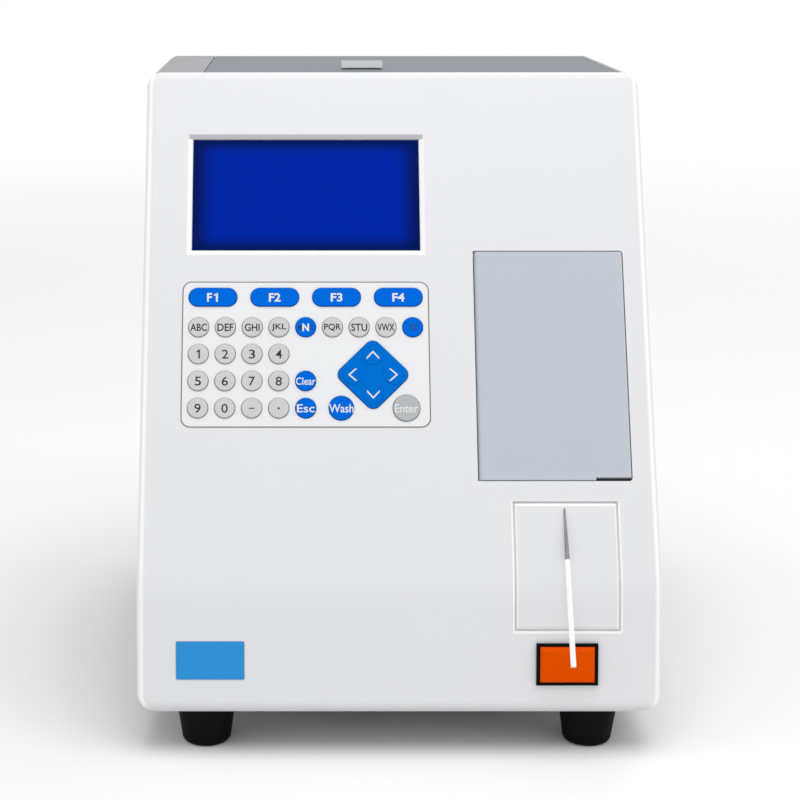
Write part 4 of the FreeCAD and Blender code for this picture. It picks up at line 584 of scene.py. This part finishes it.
# Painted highlight: the pull's forward-facing faces, above the lid's face, get a pale grey.
raised = math_node(tree, "GREATER_THAN", object_axes(tree)[2], cad_high.z - PULL_FACE_H)
forward = math_node(tree, "LESS_THAN", facing_axes(tree)[1], PULL_FACE_TURN)
pull_highlight = math_node(tree, "MULTIPLY", raised, forward)
colour = mix_colours(tree, pull_highlight, skin.outputs["Colour"], PULL_HIGHLIGHT_GREY)
tree.links.new(colour, shader.inputs["Base Color"])
dress(lid_gloss, "top_lid")
pin_steel = metal("pin_steel", tint(205, 205, 206), Roughness=0.22, Line_Size=0.0003, Tarnish=0.1)
dress(pin_steel, "hinge_pins")

# The front: an off-white semi-gloss moulding with a fine bloom, leaning back in two flats. A painted
# highlight brightens the bevel round the display, a band round the sipper's plate and the rounded sides;
# painted shade darkens the bevel over the display and the lowest edge, which turn under.
FRONT_RUN = 119.92 * MM
FRONT_RISE = 222.4 * MM
FRONT_LEAN = math.atan2(FRONT_RUN, FRONT_RISE)
FRONT_UP = Vector((0.0, math.sin(FRONT_LEAN), math.cos(FRONT_LEAN)))
FRONT_OUT = Vector((0.0, -math.cos(FRONT_LEAN), math.sin(FRONT_LEAN)))


def middle_of(name):
    """The middle of a CAD node's box, which is its centre if it is alike on both sides."""
    low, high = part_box(name)
    return (low + high) / 2


def on_piece(tree, centre, turn, half_size):
    """Coordinates on a piece that go from -1 to 1 between its edges, as three sockets."""
    spot = tree.nodes.new("ShaderNodeTexCoord")
    mapping = tree.nodes.new("ShaderNodeMapping")
    mapping.vector_type = "TEXTURE"
    mapping.inputs["Location"].default_value = centre
    mapping.inputs["Rotation"].default_value = (turn, 0.0, 0.0)
    mapping.inputs["Scale"].default_value = half_size
    tree.links.new(spot.outputs["Object"], mapping.inputs["Vector"])
    axes = tree.nodes.new("ShaderNodeSeparateXYZ")
    tree.links.new(mapping.outputs["Vector"], axes.inputs[0])
    return axes.outputs["X"], axes.outputs["Y"], axes.outputs["Z"]


DISPLAY_HALF_W = 54.85 * MM
DISPLAY_HALF_H = 28.4 * MM
BEVEL_W = 2.5 * MM
FRONT_WHITE = tint(230, 231, 233)
PAINTED_HIGHLIGHT_WHITE = tint(252, 252, 253)
PAINTED_SHADE_WHITE = tint(196, 197, 200)
PLATE_PLACE = Vector((77.3, 0.0, 85.4)) * MM
PLATE_HALF = Vector((23.8, 1.0, 26.5)) * MM
PLATE_HIGHLIGHT_SHARE = 0.06
BOTTOM_SHADE_H = 7.0 * MM
BOTTOM_SHADE = 0.75
SIDE_HIGHLIGHT_START = (0.15, 0.45)
SIDE_HIGHLIGHT_END = (0.55, 0.85)
# Where the bevel gets its painted highlight and where its painted shade: a middle and a reach, in shares of
# its half.
BEVEL_HIGHLIGHT_ACROSS = (0.0, 0.999)
BEVEL_HIGHLIGHT_UP = (-0.05, 0.949)
BEVEL_SHADE_ACROSS = (0.0, 0.995)
BEVEL_SHADE_UP = (0.96, 0.039)
display_centre = middle_of("display_window")
front_white, tree, shader = start_material("front_white", specular=0.45)
skin = use_group(tree, moulded_skin, shader, Colour=FRONT_WHITE, Drift=0.012, Roughness=0.36, Smears=0.07,
                 Grain_Size=0.0005, Grain_Depth=0.000008, Edge_Radius=0.0005, Edge_Wear=0.02)
u, v, _ = on_piece(tree, display_centre, math.pi / 2 - FRONT_LEAN,
                   (DISPLAY_HALF_W + BEVEL_W, DISPLAY_HALF_H + BEVEL_W, 1.0))
# Painted highlight on the display's bevel below its top edge, and painted shade on the top bevel.
bevel_highlight = math_node(tree, "MULTIPLY", math_node(tree, "COMPARE", u, *BEVEL_HIGHLIGHT_ACROSS),
                     math_node(tree, "COMPARE", v, *BEVEL_HIGHLIGHT_UP))
bevel_shade = math_node(tree, "MULTIPLY", math_node(tree, "COMPARE", u, *BEVEL_SHADE_ACROSS),
                     math_node(tree, "COMPARE", v, *BEVEL_SHADE_UP))
# Painted highlight in a thin band just outside the sipper's plate.
u, _, w = on_piece(tree, PLATE_PLACE, 0.0, PLATE_HALF)
reach = math_node(tree, "MAXIMUM", math_node(tree, "ABSOLUTE", u), math_node(tree, "ABSOLUTE", w))
plate_highlight = math_node(tree, "COMPARE", reach, 1.0 + PLATE_HIGHLIGHT_SHARE / 2, PLATE_HIGHLIGHT_SHARE / 2)
# Painted highlight on the rounded sides, where the surface turns partly sideways.
sideways = math_node(tree, "ABSOLUTE", facing_axes(tree)[0])
side_highlight = math_node(tree, "MULTIPLY", ramp_between(tree, sideways, *SIDE_HIGHLIGHT_START),
                     ramp_between(tree, sideways, *SIDE_HIGHLIGHT_END, 1.0, 0.0))
painted_highlight = math_node(tree, "MAXIMUM", math_node(tree, "MAXIMUM", bevel_highlight, plate_highlight), side_highlight)
colour = mix_colours(tree, painted_highlight, skin.outputs["Colour"], PAINTED_HIGHLIGHT_WHITE)
# Painted shade over the lowest few millimetres of the front.
case_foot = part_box("front_bezel")[0].z
bottom_shade = ramp_between(tree, object_axes(tree)[2], case_foot, case_foot + BOTTOM_SHADE_H, BOTTOM_SHADE, 0.0)
painted_shade = math_node(tree, "MAXIMUM", bevel_shade, bottom_shade)
tree.links.new(mix_colours(tree, painted_shade, colour, PAINTED_SHADE_WHITE), shader.inputs["Base Color"])
dress(front_white, "front_bezel")

# The display: a glossless window over a backlit blue panel whose light falls off towards its
# edges, with the fine grid of its dots.
DISPLAY_BLUE = tint(0, 37, 158)
DISPLAY_DARK = tint(4, 22, 84)
SIDE_FADE = 12.0 * MM
END_FADE = 8.4 * MM
DISPLAY_GLOW = 0.12
DISPLAY_ROUGHNESS = 0.22
WIPE_ROUGHNESS = 0.08
WIPE_SIZE = 20.0 * MM
DOTS_ACROSS = 240
DOTS_UP = 128
DOT_GAP_SHARE = 0.06
DOT_GAP_SHADE = 0.12
display_blue, tree, shader = start_material("display_blue", specular=0.01)
u, v, _ = on_piece(tree, display_centre, math.pi / 2 - FRONT_LEAN, (DISPLAY_HALF_W, DISPLAY_HALF_H, 1.0))
from_side = math_node(tree, "MULTIPLY_ADD", math_node(tree, "ABSOLUTE", u), -DISPLAY_HALF_W, DISPLAY_HALF_W)
from_end = math_node(tree, "MULTIPLY_ADD", math_node(tree, "ABSOLUTE", v), -DISPLAY_HALF_H, DISPLAY_HALF_H)
lit = math_node(tree, "MULTIPLY", ramp_between(tree, from_side, 0.0, SIDE_FADE),
                ramp_between(tree, from_end, 0.0, END_FADE))
dots = [math_node(tree, "PINGPONG", math_node(tree, "MULTIPLY", axis, count / 2), 0.5)
        for axis, count in ((u, DOTS_ACROSS), (v, DOTS_UP))]
gap = math_node(tree, "LESS_THAN", math_node(tree, "MINIMUM", dots[0], dots[1]), DOT_GAP_SHARE)
lit = math_node(tree, "MULTIPLY", lit, math_node(tree, "MULTIPLY_ADD", gap, -DOT_GAP_SHADE, 1.0))
colour = mix_colours(tree, lit, DISPLAY_DARK, DISPLAY_BLUE)
tree.links.new(colour, shader.inputs["Base Color"])
tree.links.new(colour, shader.inputs["Emission Color"])
shader.inputs["Emission Strength"].default_value = DISPLAY_GLOW
spot = tree.nodes.new("ShaderNodeTexCoord")
wiped = noise(tree, spot.outputs["Object"], WIPE_SIZE, 4.0)
rough = math_node(tree, "MULTIPLY_ADD", wiped, WIPE_ROUGHNESS, DISPLAY_ROUGHNESS)
tree.links.new(rough, shader.inputs["Roughness"])
dress(display_blue, "display_window")

# The keypad overlay: a white polycarbonate film with a fine printed texture, lighter than the
# moulding round it, and a thin grey line printed along its edge.
OVERLAY_W = 117.3 * MM
OVERLAY_H = 71.5 * MM
OVERLAY_CORNER = 4.5 * MM
OVERLAY_T = 1.2 * MM
LINE_W = 0.38 * MM
LINE_INSET = 0.02 * MM
overlay_film = moulded("overlay_film", tint(237, 238, 239), specular=0.4, Drift=0.01, Roughness=0.42,
                       Smears=0.06, Grain_Size=0.0004, Grain_Depth=0.00001, Edge_Radius=0.0002, Edge_Wear=0.0)
dress(overlay_film, "keypad_overlay")
grey_ink = moulded("grey_ink", tint(118, 119, 120), specular=0.3, Drift=0.04, Roughness=0.5,
                   Grain_Size=0.0003, Grain_Depth=0.000005, Edge_Radius=0.00002, Edge_Wear=0.0)
overlay_centre = middle_of("keypad_overlay")
overlay_level = overlay_centre.dot(FRONT_OUT) + OVERLAY_T / 2


def on_front(centre, level):
    """A frame on the leaning front, over centre, at a level along the way out of it."""
    return facing(centre + FRONT_OUT * (level - centre.dot(FRONT_OUT)), FRONT_UP, FRONT_OUT)


bm = bmesh.new()
rounded_flat(bm, OVERLAY_W - 2 * LINE_INSET, OVERLAY_H - 2 * LINE_INSET, OVERLAY_CORNER - LINE_INSET, 12)
inside = bm.faces[:]
bmesh.ops.inset_region(bm, faces=inside, thickness=LINE_W, use_even_offset=True, use_boundary=True)
bmesh.ops.delete(bm, geom=inside, context="FACES")
raise_flat(bm, INK_T)
bmesh.ops.transform(bm, matrix=on_front(overlay_centre, overlay_level), verts=bm.verts[:])
new_piece("keypad_line", bm, grey_ink, "case")

# The keys: semi-matt moulded caps, coloured through, and pad-printed with plain letters, numbers
# and words. Each slides in its own hole, against a switch on the board behind.
KEY_PROUD = 0.8 * MM
BLACK_INK = tint(28, 28, 30)
NAVY_INK = tint(20, 50, 100)
# Each mark: its key, its width, height and corner in millimetres.
KEY_MARKS = (("minus", 2.6, 0.45, 0.05), ("dot", 0.95, 0.95, 0.4))
# Each label: its words, their height and their width in millimetres.
KEY_LABELS = {
    "blue": {"f2": ("F2", 4.3, 5.6), "f3": ("F3", 4.3, 5.6), "f4": ("F4", 4.3, 5.8),
             "clear": ("Clear", 3.7, 9.3), "escape": ("Esc", 3.95, 8.3), "wash": ("Wash", 4.1, 11.5)},
    "enter": {"enter": ("Enter", 4.0, 10.9)},
    "grey": {"abc": ("ABC", 3.7, 7.9), "def": ("DEF", 3.7, 7.6), "ghi": ("GHI", 3.7, 7.0),
             "jkl": ("JKL", 3.7, 7.0), "pqr": ("PQR", 3.7, 7.9),
             "stu": ("STU", 3.7, 7.6), "vwx": ("VWX", 3.7, 8.1)},
}
# How much fatter each kind of print is than thin plain letters, as a share of their size.
KEY_WEIGHTS = {"bold": 0.027, "blue": 0.012, "enter": 0.010, "grey": 0.014, "digit": 0.006, "single": 0.04,
               "small": 0.01}
BOLD_H = 4.3 * MM
BOLD_F_W = 2.4 * MM
BOLD_F_ASIDE = -1.6 * MM
BOLD_ONE_STROKE = 0.95 * MM
BOLD_ONE_ASIDE = 1.9 * MM
DIGIT_H = 4.4 * MM
DIGIT_W = 3.0 * MM
DIGIT_ONE_STROKE = 0.7 * MM
DIGIT_ONE_ASIDE = 0.45 * MM
SINGLE_H = 3.8 * MM
SINGLE_W = 3.2 * MM
PAIR_H = 3.2 * MM
PAIR_W = 4.7 * MM
SMALL_H = 2.4 * MM
SMALL_W = 1.6 * MM
SMALL_ASIDE = 2.9 * MM
KEY_BLUE = tint(0, 106, 222)
PAD_BLUE = tint(0, 112, 210)
KEY_GREY = tint(207, 207, 207)
ENTER_GREY = tint(181, 184, 187)
BLUE_FINISH = {"specular": 0.008, "Drift": 0.04, "Roughness": 0.4, "Smears": 0.1, "Grain_Size": 0.0006,
               "Grain_Depth": 0.00001, "Edge_Radius": 0.0003, "Edge_Wear": 0.15}
INK_FINISH = {"specular": 0.3, "Drift": 0.1, "Roughness": 0.5, "Grain_Size": 0.0003,
              "Grain_Depth": 0.000005, "Edge_Radius": 0.00002, "Edge_Wear": 0.0}
blue_cap = moulded("blue_cap", KEY_BLUE, **BLUE_FINISH)
pad_cap = moulded("pad_cap", PAD_BLUE, **BLUE_FINISH)
# The grey caps' edge term is negative: painted shade darkens them near their edges, so they read as domed.
grey_cap = moulded("grey_cap", KEY_GREY, specular=0.3, Drift=0.05, Roughness=0.45, Smears=0.1,
                   Grain_Size=0.0006, Grain_Depth=0.00002, Edge_Radius=0.0006, Edge_Wear=-0.12)
enter_cap = moulded("enter_cap", ENTER_GREY, specular=0.35, Drift=0.05, Roughness=0.42, Smears=0.1,
                    Grain_Size=0.0006, Grain_Depth=0.00002, Edge_Radius=0.0003, Edge_Wear=0.05)
black_ink = moulded("black_ink", BLACK_INK, **INK_FINISH)
navy_ink = moulded("navy_ink", NAVY_INK, **INK_FINISH)
for key in ("f1", "f2", "f3", "f4", "mno", "yz", "clear", "escape", "wash"):
    dress(blue_cap, f"key_{key}")
for key in ("abc", "def", "ghi", "jkl", "pqr", "stu", "vwx", "1", "2", "3", "4", "5", "6", "7", "8", "9", "0",
            "minus", "dot"):
    dress(grey_cap, f"key_{key}")
dress(pad_cap, "key_arrows")
dress(enter_cap, "key_enter")


def lay_on_key(name, bm, key, ink, aside=0.0):
    """Lays a finished print on a key's face, moved to the side by aside, and ends it as a piece."""
    bmesh.ops.translate(bm, vec=(aside, 0.0, 0.0), verts=bm.verts[:])
    bmesh.ops.transform(bm, matrix=on_front(middle_of(f"key_{key}"), overlay_level + KEY_PROUD),
                        verts=bm.verts[:])
    new_piece(name, bm, ink, f"key_{key}_cap")


def printed_words(name, words, key, height, width, weight, ink, aside=0.0):
    """Words printed on a key: height and width are those of the letters themselves, in metres."""
    curve = bpy.data.curves.new(name, "FONT")
    curve.body = words
    curve.resolution_u = 3
    curve.offset = weight
    curve.extrude = 0.5
    draft = bpy.data.objects.new(f"{name}_draft", curve)
    mesh = bpy.data.meshes.new_from_object(draft)
    bpy.data.objects.remove(draft)
    bm = bmesh.new()
    bm.from_mesh(mesh)
    bpy.data.meshes.remove(mesh)
    bmesh.ops.remove_doubles(bm, verts=bm.verts[:], dist=0.0001)
    low = [min(v.co[i] for v in bm.verts) for i in (0, 1)]
    high = [max(v.co[i] for v in bm.verts) for i in (0, 1)]
    bmesh.ops.translate(bm, vec=(-(low[0] + high[0]) / 2, -(low[1] + high[1]) / 2, 0.5), verts=bm.verts[:])
    bmesh.ops.scale(bm, vec=(width / (high[0] - low[0]), height / (high[1] - low[1]), INK_T),
                    verts=bm.verts[:])
    lay_on_key(name, bm, key, ink, aside)


for kind, labels in KEY_LABELS.items():
    ink = black_ink if kind == "grey" else white_ink
    for key, (words, height, width) in labels.items():
        weight = KEY_WEIGHTS["bold" if key in ("f2", "f3", "f4") else kind]
        printed_words(f"print_{key}", words, key, height * MM, width * MM, weight, ink)
for digit in "234567890":
    printed_words(f"print_{digit}", digit, digit, DIGIT_H, DIGIT_W, KEY_WEIGHTS["digit"], black_ink)
printed_words("print_n", "N", "mno", SINGLE_H, SINGLE_W, KEY_WEIGHTS["single"], white_ink)
printed_words("print_m", "M", "mno", SMALL_H, SMALL_W, KEY_WEIGHTS["small"], navy_ink, -SMALL_ASIDE)
printed_words("print_o", "O", "mno", SMALL_H, SMALL_W, KEY_WEIGHTS["small"], navy_ink, SMALL_ASIDE)
printed_words("print_yz", "YZ", "yz", PAIR_H, PAIR_W, KEY_WEIGHTS["blue"], navy_ink)
for key, width, height, corner in KEY_MARKS:
    bm = bmesh.new()
    rounded_flat(bm, width * MM, height * MM, corner * MM)
    raise_flat(bm, INK_T)
    lay_on_key(f"print_{key}", bm, key, black_ink)


FLAG_LENGTH_SHARE = 0.36
FLAG_STROKE_SHARE = 0.85
FLAG_LEFT_SHARE = 0.14
FLAG_UP_SHARE = 0.33
FLAG_TURN = math.radians(42.0)
STROKE_CORNER = 0.04 * MM


def printed_one(name, key, height, stroke, ink, aside):
    """The figure 1: a stem, with a slanting flag whose size and place are shares of the stem's."""
    bm = bmesh.new()
    rounded_flat(bm, FLAG_LENGTH_SHARE * height, FLAG_STROKE_SHARE * stroke, STROKE_CORNER)
    raise_flat(bm, INK_T)
    bmesh.ops.rotate(bm, cent=(0.0, 0.0, 0.0), matrix=Matrix.Rotation(FLAG_TURN, 3, "Z"), verts=bm.verts[:])
    bmesh.ops.translate(bm, vec=(-FLAG_LEFT_SHARE * height, FLAG_UP_SHARE * height, 0.0), verts=bm.verts[:])
    flag = bpy.data.meshes.new("flag_draft")
    bm.to_mesh(flag)
    bm.clear()
    rounded_flat(bm, stroke, height, STROKE_CORNER)
    raise_flat(bm, INK_T)
    bm.from_mesh(flag)
    bpy.data.meshes.remove(flag)
    lay_on_key(name, bm, key, ink, aside)


printed_one("print_1", "1", DIGIT_H, DIGIT_ONE_STROKE, black_ink, DIGIT_ONE_ASIDE)
printed_words("print_f", "F", "f1", BOLD_H, BOLD_F_W, KEY_WEIGHTS["bold"], white_ink, BOLD_F_ASIDE)
printed_one("print_f1", "f1", BOLD_H, BOLD_ONE_STROKE, white_ink, BOLD_ONE_ASIDE)

# The arrow pad: one blue diamond with four low round domes, each with a white chevron on its flat
# top that points out from the middle.
ARROW_OUT = 9.6 * MM
DOME_R = 4.8 * MM
DOME_H = 0.3 * MM
CHEVRON_HALF = 2.95 * MM
CHEVRON_RISE = 3.3 * MM
CHEVRON_STROKE = 0.7 * MM
pad_centre = middle_of("key_arrows")
pad_level = overlay_level + KEY_PROUD
for i, way in enumerate(("up", "left", "down", "right")):
    turn = Matrix.Rotation(i * math.pi / 2, 4, "Z")
    step = Matrix.Translation((0.0, ARROW_OUT, 0.0))
    bm = bmesh.new()
    bmesh.ops.create_cone(bm, cap_ends=True, segments=48, radius1=DOME_R, radius2=DOME_R - DOME_H,
                          depth=DOME_H)
    rim = [e for e in bm.edges if min(v.co.z for v in e.verts) > 0]
    bmesh.ops.bevel(bm, geom=rim, offset=DOME_H / 2, segments=3, profile=0.5, affect="EDGES", material=-1)
    bmesh.ops.translate(bm, vec=(0.0, 0.0, DOME_H / 2), verts=bm.verts[:])
    bmesh.ops.transform(bm, matrix=on_front(pad_centre, pad_level) @ turn @ step, verts=bm.verts[:])
    new_piece(f"pad_dome_{way}", bm, pad_cap, "key_arrows_cap")
    bm = bmesh.new()
    points = [bm.verts.new(p)
              for p in ((-CHEVRON_HALF, 0.0, 0.0), (0.0, CHEVRON_RISE, 0.0), (CHEVRON_HALF, 0.0, 0.0))]
    arms = [bm.edges.new(points[:2]), bm.edges.new(points[1:])]
    below = bmesh.ops.extrude_edge_only(bm, edges=arms)
    width = CHEVRON_STROKE * math.hypot(CHEVRON_HALF, CHEVRON_RISE) / CHEVRON_HALF
    bmesh.ops.translate(bm, vec=(0.0, -width, 0.0), verts=new_verts(below))
    raise_flat(bm, INK_T)
    bmesh.ops.translate(bm, vec=(0.0, -CHEVRON_RISE / 3, 0.0), verts=bm.verts[:])
    bmesh.ops.transform(bm, matrix=on_front(pad_centre, pad_level + DOME_H) @ turn @ step, verts=bm.verts[:])
    new_piece(f"pad_chevron_{way}", bm, white_ink, "key_arrows_cap")

# The pump door: a matt blue-grey moulding with a finger notch at its lower corner. It turns on two
# pins along its left edge, and covers the pump.
door_matt = moulded("door_matt", tint(193, 199, 208), specular=0.3, Drift=0.02, Roughness=0.6, Smears=0.06,
                    Grain_Size=0.0008, Grain_Depth=0.00002, Edge_Radius=0.0004, Edge_Wear=0.08)
dress(door_matt, "pump_door")

# The pump behind the door: a dark tub with an arched track, and a natural white rotor whose
# rollers squeeze a soft milky tube against the track. The tube stays put while the rotor turns.
TUBE_R = 2.2 * MM
TUBE_BEND_R = 23.4 * MM
TUBE_LEG = 52.2 * MM
TUBE_LEVEL = 9.0 * MM
head_plastic = moulded("head_plastic", tint(58, 60, 63), specular=0.4, Drift=0.1, Roughness=0.5, Smears=0.12,
                       Grain_Size=0.0009, Grain_Depth=0.00003, Edge_Radius=0.0004, Edge_Wear=0.3)
dress(head_plastic, "pump_head")
rotor_acetal = moulded("rotor_acetal", tint(222, 220, 214), specular=0.45, Drift=0.04, Roughness=0.38,
                       Smears=0.1, Grain_Size=0.0008, Grain_Depth=0.00001, Edge_Radius=0.0004, Edge_Wear=0.04)
dress(rotor_acetal, "pump_rotor")
tube_silicone = moulded("tube_silicone", tint(226, 222, 208), specular=0.4, Drift=0.05, Roughness=0.3,
                        Smears=0.1, Grain_Size=0.002, Grain_Depth=0.00002, Edge_Radius=0.0002, Edge_Wear=0.0)
pump_axis = joint_place("pump_spin")
bm = bmesh.new()
ring = bmesh.ops.create_circle(bm, segments=20, radius=TUBE_R)
bmesh.ops.rotate(bm, cent=(0.0, 0.0, 0.0), matrix=Matrix.Rotation(math.pi / 2, 3, "X"), verts=ring["verts"])
bmesh.ops.translate(bm, vec=(TUBE_BEND_R, 0.0, 0.0), verts=ring["verts"])
start = bm.edges[:]
bend = bmesh.ops.spin(bm, geom=start, cent=(0.0, 0.0, 0.0), axis=(0.0, 0.0, 1.0), dvec=(0.0, 0.0, 0.0),
                      angle=math.pi, steps=40, use_merge=False, use_duplicate=False)
end = [e for e in bend["geom_last"] if isinstance(e, bmesh.types.BMEdge)]
for edges in (start, end):
    leg = bmesh.ops.extrude_edge_only(bm, edges=edges)
    bmesh.ops.translate(bm, vec=(0.0, -TUBE_LEG, 0.0), verts=new_verts(leg))
bmesh.ops.recalc_face_normals(bm, faces=bm.faces[:])
for face in bm.faces:
    face.smooth = True
bmesh.ops.transform(bm, matrix=facing(pump_axis + TUBE_LEVEL * FRONT_OUT, FRONT_UP, FRONT_OUT),
                    verts=bm.verts[:])
new_piece("pump_tube", bm, tube_silicone, "case")

# The needle and its sleeve: a drawn steel tube, dulled by use, and the smooth white tube that is
# pushed over its end and cut off square.
needle_steel = metal("needle_steel", tint(120, 121, 126), Roughness=0.3, Line_Size=0.0003, Tarnish=0.3)
dress(needle_steel, "sipper_needle")
sleeve_white = moulded("sleeve_white", tint(250, 250, 250), specular=0.5, coat=0.2, Drift=0.01,
                       Roughness=0.25, Smears=0.05, Grain_Size=0.001, Grain_Depth=0.000004,
                       Edge_Radius=0.0001, Edge_Wear=0.0)
dress(sleeve_white, "sipper_sleeve")

# The aspirate switch: a black frame pressed into the lower front, and its bright orange cap with
# bevelled edges, semi-gloss, with a painted highlight along the bevels.
frame_black = moulded("frame_black", tint(9, 7, 7), specular=0.06, Drift=0.1, Roughness=0.42, Smears=0.12,
                      Grain_Size=0.0007, Grain_Depth=0.00001, Edge_Radius=0.0003, Edge_Wear=0.3)
dress(frame_black, "aspirate_switch")
cap_orange = moulded("cap_orange", tint(230, 81, 0), specular=0.015, Drift=0.04, Roughness=0.36, Smears=0.1,
                     Grain_Size=0.0008, Grain_Depth=0.00001, Edge_Radius=0.0005, Edge_Wear=0.5)
dress(cap_orange, "aspirate_key")

# The badge plate: a small plain plate of thin aluminium sheet, anodised blue and cut square, and
# glued in its shallow seat on the front.
badge_blue = moulded("badge_blue", tint(46, 148, 221), specular=0.12, Drift=0.03, Roughness=0.4, Smears=0.08,
                     Grain_Size=0.0005, Grain_Depth=0.000006, Edge_Radius=0.0002, Edge_Wear=0.1)
dress(badge_blue, "badge_plate")
